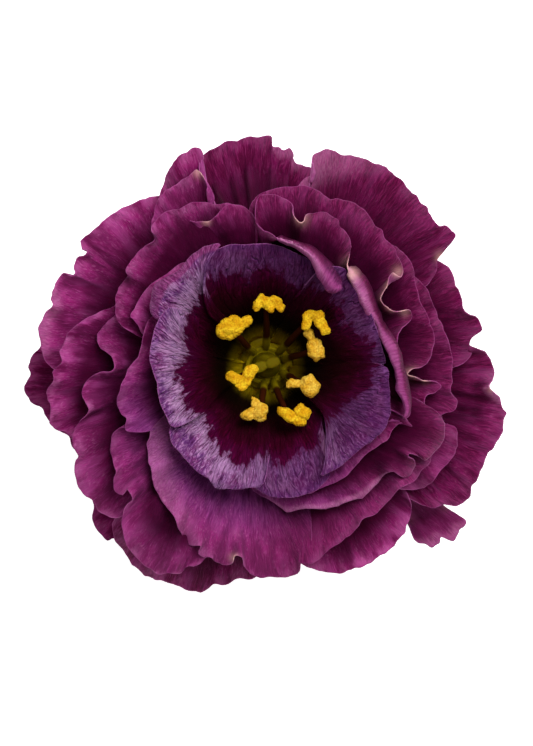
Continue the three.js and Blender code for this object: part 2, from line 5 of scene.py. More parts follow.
import bmesh
import bpy
import numpy as np
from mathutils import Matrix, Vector


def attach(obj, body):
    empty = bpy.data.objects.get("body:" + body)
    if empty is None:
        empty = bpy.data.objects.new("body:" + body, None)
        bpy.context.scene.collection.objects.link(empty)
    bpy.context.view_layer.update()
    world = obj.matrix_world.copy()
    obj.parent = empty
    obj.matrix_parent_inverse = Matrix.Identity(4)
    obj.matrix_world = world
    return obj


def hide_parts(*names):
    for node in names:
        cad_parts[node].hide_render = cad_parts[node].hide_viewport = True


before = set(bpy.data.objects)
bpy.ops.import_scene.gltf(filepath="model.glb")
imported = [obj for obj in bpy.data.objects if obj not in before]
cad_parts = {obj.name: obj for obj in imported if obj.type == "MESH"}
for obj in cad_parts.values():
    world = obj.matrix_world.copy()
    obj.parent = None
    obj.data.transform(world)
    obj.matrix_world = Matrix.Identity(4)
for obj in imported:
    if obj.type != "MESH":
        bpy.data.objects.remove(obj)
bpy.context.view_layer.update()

# Driving dimensions, in millimetres unless a name says otherwise.
MM = 0.001
CUP_RADIUS = 22
CUP_HEIGHT = 41
BLOOM_RADIUS = 44
BLOOM_DROP = 31
BLOOM_DROP_SHARES = (0.26, 0.74)
BELL_POWERS = (1.35, 3)
FOOT_INNER = (4.3, 13)
FOOT_OUTER = (10.6, 5.5)
CLAW_SHARE = 0.45
CLAW_POWER = 1.6
CLAW_PLACES = (0, 0.5, 0.75, 1)
OPEN_CLAW = (1.1, 1.2, 1.7)
TUCK_DEGREES = 8
TUCK_STEPS = (0.35, 0.75, 1)
TUCK_NARROWING = 0.3
ROLL_NARROWING = 0.02
FREE_EDGE_TUCK = 0.8
ROLL_START = 0.82
ROLL_EASE_DEGREES = 7
ROLL_POWER = 1.5
ROLL_HALF_TURNS = 0.7
ROLL_TIP_LENGTH = 2.2
ROLL_TIP_SHARE = 0.35
RIM_BEND_LENGTH = 4.5
RIM_BEND_RADIUS = 12
MARGIN_THICKNESS = 0.14
BLADE_THICKNESS = 0.38
THICKENING_LENGTH = 2.5
FLOOR_GAP = 0.03

# The photo's scale holds at the measured height; lower forms are farther from the camera.
CAMERA_HEIGHT = 1800
MEASURED_HEIGHT = 25

# The grid of a petal: columns along the margin, and rows, how many and how they grow inwards.
CURVE_STEPS = 12
FINE_STEP = 0.1
COLUMN_WIDTH = 0.46
FIRST_ROW = 0.3
CUP_ROWS = (50, 1.02)
PETAL_ROWS = (42, 1.045)
BLADE_BULGE = 1.08

# Lengths over which a margin is smoothed, the two of them that other shapes follow, and the growth inwards.
LEVELS = np.array([0.12, 0.3, 0.7, 1.5, 3, 6, 9])
RIM_LEVEL = 1
CALM_LEVEL = 5
MARGIN_SMOOTHING = 0.12
SMOOTHING_GROWTH = 0.42

# Small nicks of a margin: height at the radius below, length, and row of the noise.
NICKS = [(0.16, 0.75, 0.5), (0.22, 1.8, 3.5)]
NICK_RADIUS = 30

# Frills, ruffles and folds near the margin, and what share of them the cup petals have.
FRILL_HEIGHT = 0.9
FRILL_LENGTH = 9
FRILL_PHASE = 57.3
FRILL_LEAST = 0.3
RUFFLE = {"cup": 0.7, "petal": 1.35, "most": 2.4, "fade": 9}
FOLD = {"height": 1.6, "fade": 4}
REFLEX_FADE = 1.3
CUP_SMALL_SHARE = 0.4
CUP_RELIEF_SHARE = 0.55
MARGIN_HOLD = {"share": 0.85, "fade": 3}

# Waves of noise: seed, height, lengths along the margin and inwards, row of the noise, the share left far
# from the margin, and the distance over which the rest fades.
FRILL_WAVE = (3, 1.5, 3.6, 14, 0, 0, 6)
SMALL_WAVE = (0, 0.5, 1.7, 9, 0, 0, 3)
RELIEF = [(10, 1.1, 7, 20, 9, 0.5, 10), (11, 0.6, 3, 12, 5, 0.35, 8), (12, 0.24, 1.4, 3.4, 3, 0.3, 6),
          (13, 0.09, 0.8, 4, 0, 1, 1)]
# Waves for the painted highlight on ridges and the painted shade in valleys.
RIDGES = [(12, 0.6, 1.4, 3.4, 3, 1, 1), (15, 0.5, 2.6, 9, 1, 1, 1)]
PLEAT_WAVE = (14, 2, 6, 20, 0, 1, 1)

# Looks that depend on the side: direction x and y, and where they start and are full. violet is a violet
# tint that is partly painted light, lavender the painted light on the cup rim, and shade the painted shade
# on the side away from the light.
SIDES = {
    "violet": (-0.25, -1, 0.1, 0.9),
    "lavender": (-1, -0.6, -0.75, 0.6),
    "shade": (0.8, 0.6, -0.3, 0.9),
}
# Strength of the painted shade on the side away from the light.
SHADE = 0.68
# Least share of painted light on the far side of the cup rim.
LEAST_LAVENDER = 0.12
# A violet tint near the cup on the lower side, partly the petals' own colour and partly painted light where
# the cup's shadow falls; a rolled margin can also turn violet towards its end.
BLUSH = {"radius": 34, "fade": 11, "usual": 0.32, "rolled": 0.9}
# Painted highlight on the crest of a rolled margin: strength by degrees, place and width.
LIP = {"strength": "-5:0.15 25:0.5 42:0.9", "place": 1.2, "width": 0.9}
INSIDE_OUT = (1.6, 3)

# The petals: name and the depth of both ends in the bloom, 0 at the cup and 1 outside. rim is the margin
# from above, anticlockwise, as degrees:radius and, in folds, :lift. tuck is by how many degrees an end runs
# on behind its neighbour, and free_edge a first end on top. droop and reflex lower and bend the margin,
# pleats have width and height, claw gives shares of the width on both sides, going down, and roll turns a
# margin inward. dim (deeper painted shade), reach (the distance over which the darker inside, partly
# painted shade, grows), lavender (painted light on the cup rim) and throat are degrees:value, pale
# degrees:width:strength, cream spots (pale on tight folds, partly a painted highlight) and dark
# spots (painted shadow in hollows) degrees:radius:size, and violet from and to. blush gives the
# strength of a violet tint that is partly painted light, and tone lightens a petal, partly as
# painted light and shade.
PETALS = {}


def plan(name, depth, **traits):
    PETALS[name] = {"depth": depth, **traits}


plan("cup_right", (0.12, -0.02), tuck=5, claw=(OPEN_CLAW, OPEN_CLAW),
    rim="1:21.5 6:21.3 17:21 27:21.2 39:21.8 46:22.1 51:22.4 54:22 57:21 59:20")
plan("cup_top", (0.11, 0.11), tuck=4, claw=(OPEN_CLAW, (1.5, 2.1, 2.1)), lavender="0:0.3",
    throat="50:17.5 60:16.8 68:14.9 75:15.8 80:17 90:17.3 100:16.5 110:17 118:17.5 124:19.2 150:19.5",
    rim="55:20.6 69:20.6 76:20.9 83:21.5 89:21.8 94:21.9 101:22.1 107:22.6 120:22.4")
plan("cup_upper_left", (-0.03, 0.12), tuck=5, free_edge=True, reflex=1.8,
    claw=((0.35, -0.2, -0.3), (1.4, 1.9, 2.8)), lavender="108:0.5 125:1.1 150:1",
    pale="104:0:0.8 112:1.6:0.8 127:2.4:0.8 137:2.8:0.8 146:3.8:0.75 155:3.5:0.6",
    rim="111.5:23.6 115:23.9 120:24.1 126:23.9 131:23.2 137:23.6 141:24.3 145:24.7 155:23.2")
plan("cup_left", (-0.04, -0.04), tuck=5, claw=((0.68, 0.35, 0.25), (0.97, 0.95, 0.9)),
    rim="150:20.5 161:21 169:21 177:21 182:20.5 189:19.8 195:20.1 201:20.3 209:20.2 213:20.2")
plan("cup_lower_left", (0.12, -0.04), tuck=5, claw=(OPEN_CLAW, (1.05, 1.1, 1.5)),
    lavender="215:1.1 238:0.9 262:0.45",
    rim="215:21.3 219:21.9 225:22.1 231:22.4 237:22.8 243:23 248:24 252:23.5 257:23.1 262:22.3 267:22")
plan("cup_bottom", (0.11, 0.11), tuck=4, claw=(OPEN_CLAW, (1.6, 2.3, 3.2)), lavender="0:0.22",
    rim="266:22.5 273:23.8 278:24.1 285:24.3 292:24.2 300:22.9")
plan("cup_lower_right", (-0.04, -0.04), tuck=5, free_edge=True, claw=((0.76, 0.35, 0.25), (1, 1, 1)),
    lavender="0:0.7",
    rim="297:22.4 301:22.5 306:22.6 312:22.5 318:22.7 326:23.7 333:24.3 339:24 345:23.3 352:22.4 358:21.9")
plan("top_curled", (0.22, 0.46), tuck=3, violet=(65, 53), cream="112.6:27.6:0.7",
    roll={"from": 39, "to": 90, "inward": "44:3 48:3.5 52:3.8 60:3.9 67:2.7 76:1.7 88:1", "rise": 8},
    rim="48:20.6 56:21.8 64:22.8 71:23.3 81:23.5 88:23.9 92:24.6 93.6:25.4 94.5:26.6 96:27.9 98.6:28.9 "
    "102:29.4 105:29.4 108:28.6:0.4 111:27.8:0.9 114:28.1:1.3 117:28.6:1.5 118.5:29.4:1")
plan("upper_right_curled", (0.27, 0.35), tuck=3, cream="76.6:26.5:1.3 51.4:22.9:1.4 47:22:1.2",
    roll={"from": -34, "to": 54, "rise": 4.6,
          "inward": "-18:1 -11:2.1 -4:1.3 6:1 13:1.5 25:2.4 34:2.5 41:1.7 48:0.9"},
    rim="-18.5:27.6 -15:27 -11.4:26.2 -5:25 1:23.9 6:23.3 13:22.9 25:22.8 36:22.9 43:22.9 48:22.9 51:23.2 "
    "52.6:24.4 53.6:25.8 56:27.2 59:27.8 62:28.1 63:28.9 65.5:29.4 68:29.5 71:29.2 73:28.6 75:27.7:0.6 "
    "75:26.7:1.2 76.4:26.2:1.4 79:26.8:1 80.5:27.9:0.4 80.6:28.9 82:29.8 85:30.4 87:30.8 90:30.8 92:30.6")
plan("left_upper_inner", (0.33, 0.35),
    rim="130:24 140:24.6 145:25.2 150:25.6 156:25.7 160:25.9 163:24")
plan("left_inner", (0.25, 0.38), blush=0.75, reach="0:12",
    rim="150:20.5 155:21.9 159:22.6 164:22.6 169:22.4 173.5:22.7 177:23.1 179:24 182:25 186:25.8 189:26.6 "
    "193:27.5 196.5:27.9 199.4:27.3:0.5 200.4:26.7:0.8 203:27.3:0.4 204.4:27.8")
# bottom_large: the wide pale band near the cup and the violet tint are partly painted light where the cup's
# shadow falls.
plan("bottom_large", (0.33, 0.56), tone=0.9, dim="260:0 280:0.5", blush=0.7, reach="262:60 281:13",
    pale="209:12:0.35 225:11:0.35 245:7:0.15 255:0:0", cream="260.3:34.9:0.8 260.1:30.4:0.9",
    rim="212.5:24.7 214:25.8 218:27 222:28 226:29.1 230:30.2 235:31.3 240:32.3 242:33.4 245:34.7 248:35.2 "
    "250.3:34.7:0.5 250:35.9:0.2 252:36.3 254:35.9 256:36.8 259:36.8 260.4:36:0.5 260.2:35:1.2 262:34.6:1 "
    "263.5:35.1:0.5 264:36.4 266:37.6 268:38.2 271:38.3 273:38.5 275:38.5 277:38.1 279:37.7 279.8:36.3")
plan("bottom_right_inner", (0.56, 0.47), free_edge=True, tone=0.7, dim="281:0.5 300:0.5",
    reach="281:13 300:9",
    rim="280:36.3 283:36.6 286:36 288:35.4 294:34.4 299:33.8 302:32.8 304:32.8 306:33.3 309:33.2 "
    "312.5:32.9 317:32.7 322:34 327:34 330:34.3")
plan("lower_right_inner", (0.24, 0.22), tuck=4,
    rim="288:24.4 295:24.2 300:24.5 305:24.6 310:24.3 315:24.2 320:24.3 324:24.9 329:25.7 333:25.7 "
    "336.7:26.6 337:28.6")
plan("lower_right_curled", (0.34, 0.42), reflex=1.2, dim="296:0 312:0.6 330:0.7",
    pale="270:0:0.5 278:2:0.5 312:2:0.5 320:0:0.5", dark="318.6:27.3:1.6",
    rim="267:23.4 271:24.3 275:25.8 278:26.8 282:26.8 286:27.1 291.5:27.8 296:28.5 302:28.8 306:29.6 "
    "310:29.4 314:29.3 318:29.2:0.4 320:29.9:0.3 321:32.1 323:32.6 326:32.4 327.4:31.5:0.5 327:30.7:1.1 "
    "328:30.2:1 329:32.4 329:33.2 331:33.8 335:34.5 338:34.6 341:34")
plan("upper_left_middle", (0.42, 0.45), dim="100:0.3 140:0.2",
    dark="112:28.3:1.9 108.8:28.6:1.7 131:30.4:0.9 148:29.2:1.1",
    rim="103.6:30.1 107:30.2 110:31.2 115:32.2 119:32.3 121.5:32.7 123.5:33.1 127:32.8 130:32 "
    "130.3:30.4:0.5 134:30.3:0.4 139:30.8 143:30.7 146:30.5 147:29.6:0.4 150:30 155:29.9 158:29.3 161:28.6")
plan("left_middle", (0.53, 0.65), reach="0:9",
    rim="161.6:28.6 164:29.5 167:30.3 171:30.8 174:30.1 176:28.4 178:27.5:0.4 181:27.3:0.8 182.5:27.9:0.8 "
    "182.3:29.5:0.4 183.4:31.1 185:32.4 188:33.5 191:33.5 194:32.9 195.5:33.5 197.7:35.8 201:37.3 204:37.7 "
    "206:37.6 206.4:38.3 209:39.3 211.4:39.8 214.6:40.1 217:39.8 220:39.8 223:39.7")
plan("lower_left_middle", (0.47, 0.52), blush=0.45, reach="204:13 222:13 232:8.5",
    rim="204:27.5 203.8:29.1 205:30.5 208.5:32 212:32.6 215.6:33 216.2:33.6 216.6:34.3 217.7:34.9 "
    "219.4:35.4 221.2:35.4 222.3:34.9:0.3 222.1:34.1:0.7 221.6:33.6:1 223:33.7:0.9 224.4:33.9:0.7 "
    "225.4:34.3:0.4 225.1:35.6 226:37 227.6:38.4 229.3:39.3 232:40.9 235:41.7 238.5:42.2 242:42.2 245:41.5 "
    "247.7:40.4 248.6:39.2")
plan("upper_right_middle", (0.3, 0.52), reach="0:9",
    cream="35.4:28.7:1 32:26:1.2 29.5:24.6:1.3 25:24.5:1 21:26.4:0.8", dark="42:25.6:1.6",
    rim="-18.7:27.5 -11.4:26.3 -5:25.3 1.3:23.9 5:24 11.4:24.3 15:25.3 16.7:26.8 18.4:27.8 20.7:27.7:0.4 "
    "21.5:26:0.8 23:24.9:1 27:23.8:1 30:23.7:1 32:24.7:0.8 33.7:26.2:0.6 36:27.2:0.5 36.5:28.2:0.7 "
    "35:28.7:0.8 33.5:29.2:0.5 34.3:29.8:0.2 36.4:30.5 39:30.7 42.6:31.1 47:31.3 49:31.9 52:31.9 54:32.4 "
    "57:32.9 60:33 63:33 67:32.6 69:32.1 73:32.8 78:32.9 81:32.4 85:32.2 88:31.7 92:30.7")
plan("right_inner", (0.55, 0.57), cream="-4.3:25.7:1.5 -5.6:28.6:0.7",
    rim="-17.6:32.1 -15.4:30 -13.2:29.4 -10.7:29.4 -9.5:30.8 -7.6:31.6 -6.3:31.5:0.3 -5.5:30.6:0.8 "
    "-5.7:28.6:1.2 -4.7:27:1.6 -4:25.5:1.8 -1.5:26.4:1.2 -1:27.9:0.6 1:29.2 5:30.1 9:30.6 13:30.7 18:30.4 "
    "23:30.1 28:30.4 31:31.2 34:31.7 38:32.1 44:31.3")
plan("right_middle", (0.65, 0.67),
    rim="-17.6:32.1 -15.4:33.1 -14.2:34.5 -12.3:35.1 -10:34.9 -8:33.5:0.3 -4:33.6 0:33.7 3:33.6 6.6:33.1 "
    "11:32.5 15:32.3 20:32.1 24.5:32.1 28:31.7 30.8:31.3")
plan("lower_right_middle", (0.68, 0.75),
    rim="317:32.8 320:35.1 322:36.2 325:36.6 328:36.6 330:36.9 333:37.2 336:37.4 339:37.2 341:36.4 "
    "342:35.4 342:33.8")
plan("upper_left_fold", (0.62, 0.62), dim="0:0.2", cream="108.7:36.7:1.1",
    rim="108.3:30.9 108.5:34.1 109:36.3:0.4 109.6:37.5:0.8 112.5:36.9:0.3 115:36.6 118:36.1 121:36 "
    "124:35.1 126.6:33.7")
plan("upper_left_back", (0.76, 0.72), tuck=1.2, dim="0:0.35",
    rim="108.8:37 107.6:39.2 106.8:40.4 107.4:41.1 109:41.4 110.5:40.9 113:40.6 115:39.9 118:38.5 120:37.3 "
    "121.8:36.2")
plan("top_back", (0.92, 0.97), droop=20, pleats=(4.6, 0.7), tone=-0.7, dim="0:0.6", reach="0:10",
    pale="79:0:0.3 82:2:0.3 87:2:0.3 90:0:0.3",
    rim="76:36.6 78:36.5:0.6 80:36.7:1 82:37:0.2 82.3:38.2 84:39:1 85:38.7:1.5 86.3:39.1:1 87.5:39.1 "
    "88.8:39.4 88.5:41.1:1.2 92:40.9:0.7 94:41.3 97:40.8:0.4 100:40.5 102:40.2:0.3 105.6:39.5")
plan("upper_right_back", (0.77, 0.72), tone=-0.4, reach="0:13",
    pale="54:0:0 68:6:0.22 76:9:0.35 81:9:0.35", cream="32.6:36.9:0.9",
    rim="31.3:36.2 32.3:37.7:0.4 33.1:39:0.9 33.6:40.3:1.3 34.4:41.3:1.4 36:41.3:1.2 38:41:0.9 "
    "38.7:40.1:0.3 40.6:40 43:40.1 45:40.6 46.5:40.5 48.5:41 50:40.8 52:40.9 54:41.3 56.5:41.5 59:41.6 "
    "62:41.2 64:41.1 67:40.9 70:40.2 72:40.3 74.3:40.4 75.8:39.5 77.3:38.8 77.3:38 76.3:36.9 75.6:35.6")
plan("right_back", (0.8, 0.88), dim="0:0.3",
    rim="3.9:37.3 4.8:36.8 6.7:37.1:0.4 8.4:38.6 9.2:39.6 11.5:39.2 13:38.7 13.7:37.8:0.3 15.5:36.9:0.6 "
    "17.6:37.1 20:37.2 23:37 25:37.4 27.5:37.4 29.7:36.6 31.5:36.1")
plan("right_lower_back", (0.85, 0.95), pleats=(3.6, 0.35), dim="0:0.6", reach="0:11",
    pale="-9.6:0:0.7 -8.4:2:0.7 -6:2:0.7 -4.8:0:0.7", cream="-6.4:40.7:0.5",
    dark="-5.6:38.4:0.8 -13:36.5:1.5 -12.6:39:1.3",
    rim="-37.5:41.2 -36.2:43.2 -32.5:43.8 -30.3:43.3 -28.7:43.6 -26.7:43 -22:43 -19:43.8 -15.5:44.2 "
    "-13:43.8 -11.4:44 -10:43.1 -8:42.7:0.3 -6.8:41.7:0.8 -6.2:40.7:1.4 -5:40.2:1.2 -3.8:40.8:0.5 "
    "-1.7:41.1 1:40.5 3.3:39.8 4.2:38.7 4.9:37.2")
# lower_right_lobed is lightened as painted light, since it lies in the shade of the petals above.
plan("lower_right_lobed", (1, 1), tuck=3, droop=15, tone=1, reach="0:14",
    pale="309.5:0:0.4 312:2:0.4 320:2:0.4 323:0:0.4", cream="313.4:38.4:1 321.8:41.5:1",
    rim="313:38 313:38.9 311.8:40.2 310.3:40.8 310.4:42 311.6:43.2 312:44.2 314.5:44.7 315.5:44:0.5 "
    "316.8:46 319:45.9 321:45.9 322.2:45.5 321.4:43 320.6:40.6")
plan("bottom_right_back", (0.82, 0.78),
    rim="280:36.3 282:37.3 285:38.4 288:39.5 291:39.9 294:40.1 297:40.3 299.7:40.2 302:40.2 306.5:39.8 "
    "309.5:39.2 311:38.5 313:38")
plan("bottom_back", (0.9, 0.9), droop=8, dim="0:0.35",
    rim="229:41.6 232:42.1 235:43 238:43.4 240.4:43.7 243:43.4 245:43 248:42.8 251:42.8 254:42.6 255:41.9 "
    "256.7:40.5 260:40 262:39 264.7:38.9 266.9:38.3")
plan("lower_left_tip", (1, 1), droop=17,
    rim="219:39.6 221:41.4 223:42 225:42.3 228:42.3 228.5:41.5 230:40.8")
plan("left_back_upper", (0.84, 0.8), reach="0:12", pale="158:0:0.3 164:3:0.3 172:3:0.3 178:0:0.3",
    rim="121.8:36.2 124.5:36.8 128:37.5 131:38.1 134.5:38.7 138:39.1 141.4:39.4 145:40.1 147:39.9 "
    "148:39:0.3 147:38.3:0.6 148.7:38.1:0.5 150.5:39.2 152.8:39 154:38.1:0.4 155.7:38.6 155.8:40.1 "
    "157.5:40.8 160:40.7 162:40.7 163:40.5 164:40 165:40:0.4 166:40.7 168.4:41.1 171:41.3 174:40.9 "
    "176.7:40.2 177.8:40.1")
plan("left_back_middle", (0.6, 0.7),
    rim="158.4:29.3 162.5:31.8 165.7:33.6 169:35.2 172:36.4 175:37 177:37.3 179:36.9 182:38.3 184:38.5 "
    "186.4:39.6 188:39.8 190.6:39.2 193:40 195:40.3 197:39.5 198:38.4")
plan("left_back_lower", (0.97, 0.97), droop=17.5, dim="0:0.3",
    rim="176.4:41.1 178:42 180.3:42.7 182.3:42.3 185:43.3 187.6:43.3 189.8:42.3 190.6:41:0.4 193:40.4 "
    "197.8:38.7 199:37.8 202.6:37.7")

# Where the dark throat ends on the cup, as degrees:radius.
THROAT_EDGE = (
    "0:19.3 10:19.5 20:17.5 29:15.3 40:17.5 45:16.5 50:17.5 60:16.8 68:14.9 75:15.8 80:17 90:17.3 100:16.5 "
    "110:17 120:17 130:17.4 140:17 150:16.2 160:16 165:15 172:14.4 180:15.2 190:15.8 200:15.6 210:16.6 "
    "218:14.6 228:15 232:16.4 240:16.8 250:18.2 260:17.8 270:16.2 280:18.2 292:16.4 300:18 308:16 "
    "316:14.8 330:15.5 340:17 350:18.5 360:19.3"
)

# Anthers, clockwise from the upper left: height, and lobes as centre x, y, length, width and degrees.
ANTHERS = [
    (31, [(-6.4, 6.6, 5.2, 3.7, 30), (-3.8, 7.8, 2.7, 1.9, 35)]),
    (31.5, [(0, 11.1, 3.8, 2.1, -50), (-1.5, 10.7, 2.3, 1.6, 50), (2.1, 10.9, 3.3, 1.7, -48)]),
    (34, [(8.7, 8.8, 3.2, 2.1, 0), (7.4, 8.1, 3.7, 1.9, 80), (9.9, 7.3, 4.4, 1.9, -58)]),
    (31, [(8.9, 2.8, 4.4, 3.2, -65), (7.9, 5, 3.4, 1.7, -65)]),
    (30.5, [(7.8, -3.8, 4, 3.4, -50), (5.1, -3.4, 3.2, 1.7, 5)]),
    (31, [(3.8, -8.9, 4.4, 2, -30), (6.7, -8.4, 3.1, 2.4, -40), (6, -9.9, 2.4, 1.9, 0)]),
    (30.5, [(-1, -8.6, 3.5, 2.8, 60), (-3, -8.9, 2.9, 2.2, 20), (-1.9, -6.8, 2.6, 1.5, -70)]),
    (29.5, [(-5.4, -2.4, 3.8, 1.9, -20), (-3.1, -1.9, 4.7, 2.2, 60), (-4.2, -3.6, 2.4, 1.6, 30)]),
]
BUFF_ANTHERS = (4, 5, 7)
LOBE_FLATNESS = 0.42
LOBE_SQUARENESS = 0.75
POLLEN_VOXEL = 0.09
POLLEN_GRAIN = 0.38
GRAIN = {"height": 0.2, "radius": 0.85, "sunk": 0.16, "pit": (0.35, 0.75)}
LUMP = {"height": 0.3, "length": 0.9}
DENT = {"height": 0.12, "across": 1.2, "down": 0.9}

# Filaments from a common ring, the pistil and the calyx with its stalk and sepals.
FILAMENT_RADIUS = 0.55
FILAMENT_TAPER = ((0, 0.7, 1), (1.3, 1, 0.7))
FILAMENT_CIRCLE = 3.25
FILAMENT_FOOT = 13.45
RING_OUTLINE = [
    (2.7, 13.45), (3.5, 13.45), (3.7, 13.7), (3.65, 14.2), (3.3, 14.5), (2.9, 14.3), (2.7, 13.9),
]
PISTIL_OUTLINE = [
    (2, 13.4), (2.4, 14.4), (2.5, 15.6), (2.3, 16.8), (1.8, 18.8), (0.9, 20.4), (0.75, 21.6), (0.8, 22.8),
]
PISTIL_VOXEL = 0.12
STIGMA_LOBES = [(1.2, 0.4, 2.8, 2, 20), (-1.2, -0.4, 2.8, 2, 20)]
STIGMA_HEIGHT = 23
SEPAL = {
    "count": 5, "first": 54, "root": 6.5, "tip": 26, "height": 4.2, "arch": 1.1, "width": 3.4, "keel": 0.9,
}
CALYX_OUTLINE = [
    (1.92, 0), (2, 0.15), (1.9, 2.6), (3.6, 3.3), (9, 4.5), (10, 5.1), (7.2, 8.4), (4.1, 12.7), (3.4, 13.1),
]


# Small maths.
def mix(a, b, share):
    return a + (b - a) * share


def smoothstep(x, low, high):
    t = np.clip((x - low) / (high - low), 0, 1)
    return t * t * (3 - 2 * t)


def lattice(ix, iy, seed):
    """A number from -1 to 1 for each whole place, the same on every run."""
    h = (ix.astype(np.int64) * 374761393 + iy.astype(np.int64) * 668265263 + seed * 144269504) & 0xFFFFFFFF
    h = ((h ^ (h >> 13)) * 1274126177) & 0xFFFFFFFF
    return ((h ^ (h >> 16)) & 0xFFFFFF) / float(0xFFFFFF) * 2 - 1


def noise2(x, y, seed):
    """Smooth noise from -1 to 1 between the whole places."""
    x, y = np.broadcast_arrays(np.asarray(x, float), np.asarray(y, float))
    ix, iy = np.floor(x), np.floor(y)
    fx, fy = x - ix, y - iy
    fx, fy = fx * fx * (3 - 2 * fx), fy * fy * (3 - 2 * fy)
    low = mix(lattice(ix, iy, seed), lattice(ix + 1, iy, seed), fx)
    high = mix(lattice(ix, iy + 1, seed), lattice(ix + 1, iy + 1, seed), fx)
    return mix(low, high, fy)


def wave(shape, s, d, seed):
    offset, height, along_margin, inwards, row, far, fade = shape
    noise = noise2(s / along_margin, d / inwards + row, seed + offset)
    return height * noise * mix(far, 1, np.exp(-d / fade))


def trace(text):
    """Rows of three numbers from points written as a:b:c or a:b."""
    rows = [[float(v) for v in point.split(":")] for point in text.split()]
    return np.array([row + [0.0] * (3 - len(row)) for row in rows])


def along(text, degrees, column=1):
    """The value at each point from steps written as degrees:value:value."""
    steps = trace(text)
    return np.interp(degrees, steps[:, 0], steps[:, column])


def between(a, b, t, low, high):
    return (high - t) / (high - low) * a + (t - low) / (high - low) * b


def lengths_along(curve):
    return np.concatenate([[0], np.cumsum(np.linalg.norm(np.diff(curve[:, :2], axis=0), axis=1))])


def polar_of(xy, near):
    degrees = np.degrees(np.unwrap(np.arctan2(xy[..., 1], xy[..., 0]), axis=-1))
    middle = degrees[..., degrees.shape[-1] // 2]
    degrees = degrees + 360 * np.round((near - middle) / 360)[..., None]
    return degrees, np.hypot(xy[..., 0], xy[..., 1])


def side_of_bloom(name, degrees):
    x, y, low, high = SIDES[name]
    angle = np.radians(degrees)
    return smoothstep(x * np.cos(angle) + y * np.sin(angle), low, high)


def foot_of(depth):
    """The radius and height from which a petal at this depth rises."""
    return [mix(inner, outer, depth) for inner, outer in zip(FOOT_INNER, FOOT_OUTER)]


def bell_height(depth, radius):
    foot_radius, foot_height = foot_of(depth)
    rim_radius = mix(CUP_RADIUS, BLOOM_RADIUS, depth)
    even, growing = BLOOM_DROP_SHARES
    rim_height = CUP_HEIGHT - BLOOM_DROP * (even * depth + growing * depth**2)
    share = np.clip((radius - foot_radius) / (rim_radius - foot_radius), 0, 1)
    past = np.maximum(0, radius - rim_radius)
    curved = np.minimum(past, RIM_BEND_LENGTH)
    drop = (curved**2 / 2 + (past - curved) * RIM_BEND_LENGTH) / RIM_BEND_RADIUS
    return foot_height + (rim_height - foot_height) * (1 - (1 - share) ** mix(*BELL_POWERS, depth)) - drop


# Margins.
def tucked(end, degrees, narrowing):
    """Points that carry a margin on from its end, behind its neighbour."""
    return [(end[0] + step * degrees, end[1] * (1 - narrowing * step**2), 0) for step in TUCK_STEPS]


def through(places):
    """A smooth curve through the places."""
    curve = []
    padded = np.vstack([2 * places[0] - places[1], places, 2 * places[-1] - places[-2]])
    for i in range(1, len(padded) - 2):
        a, b, c, d = padded[i - 1 : i + 3]
        gaps = [max(1e-3, np.linalg.norm(q[:2] - p[:2]) ** 0.5) for p, q in ((a, b), (b, c), (c, d))]
        k0, k1, k2, k3 = np.cumsum([0] + gaps)
        t = np.linspace(k1, k2, CURVE_STEPS, endpoint=False)[:, None]
        first, middle, last = between(a, b, t, k0, k1), between(b, c, t, k1, k2), between(c, d, t, k2, k3)
        early, late = between(first, middle, t, k0, k2), between(middle, last, t, k1, k3)
        curve.append(between(early, late, t, k1, k2))
    return np.vstack(curve + [places[-1:]])


def margin_levels(petal, seed):
    """The margin at even steps, smoothed over each of LEVELS, as x, y and lift; and its length."""
    points = trace(petal["rim"])
    tuck = petal.get("tuck", TUCK_DEGREES)
    first_tuck = FREE_EDGE_TUCK if "free_edge" in petal else tuck
    first_narrowing = ROLL_NARROWING if "roll" in petal or "free_edge" in petal else TUCK_NARROWING
    before = tucked(points[0], -first_tuck, first_narrowing)[::-1]
    points = np.vstack([before, points, tucked(points[-1], tuck, TUCK_NARROWING)])
    angle = np.radians(points[:, 0])
    radius, lift = points[:, 1], points[:, 2]
    curve = through(np.column_stack([radius * np.cos(angle), radius * np.sin(angle), lift]))
    walked = lengths_along(curve)
    nicks = sum(height * noise2(walked / length, row, seed) for height, length, row in NICKS)
    curve[:, :2] *= (1 + nicks / NICK_RADIUS)[:, None]

    lengths = lengths_along(curve)
    total = lengths[-1]
    fine = np.linspace(0, total, int(total / FINE_STEP))
    even = np.column_stack([np.interp(fine, lengths, curve[:, k]) for k in range(3)])
    wanted = np.linspace(0, total, round(total / COLUMN_WIDTH) + 1)
    spacing = fine[1] - fine[0]
    levels = []
    for sigma in LEVELS:
        reach = int(np.ceil(3 * sigma / spacing))
        kernel = np.exp(-0.5 * (np.arange(-reach, reach + 1) * spacing / sigma) ** 2)
        padded = np.vstack([np.repeat(even[:1], reach, 0), even, np.repeat(even[-1:], reach, 0)])
        smooth = [np.convolve(padded[:, k], kernel / kernel.sum(), "valid") for k in range(3)]
        levels.append(np.column_stack([np.interp(wanted, fine, line) for line in smooth]))
    return np.array(levels), total


# Petals.
def blade_rows(blade, cup):
    """Each row's share of the way from foot to margin, and its distance from the margin."""
    count, growth = CUP_ROWS if cup else PETAL_ROWS
    distance = np.concatenate([[0], np.cumsum(FIRST_ROW * growth ** np.arange(count))])
    distance = (distance * blade / distance[-1])[::-1]
    return 1 - distance / blade, distance


def calmed(levels, distance):
    """The margin as each row follows it, smoother with the distance."""
    sigma = MARGIN_SMOOTHING + SMOOTHING_GROWTH * distance
    place = np.interp(np.log(sigma), np.log(LEVELS), range(len(LEVELS)))
    low = np.clip(np.floor(place).astype(int), 0, len(LEVELS) - 2)
    return mix(levels[low], levels[low + 1], (place - low)[:, None, None])


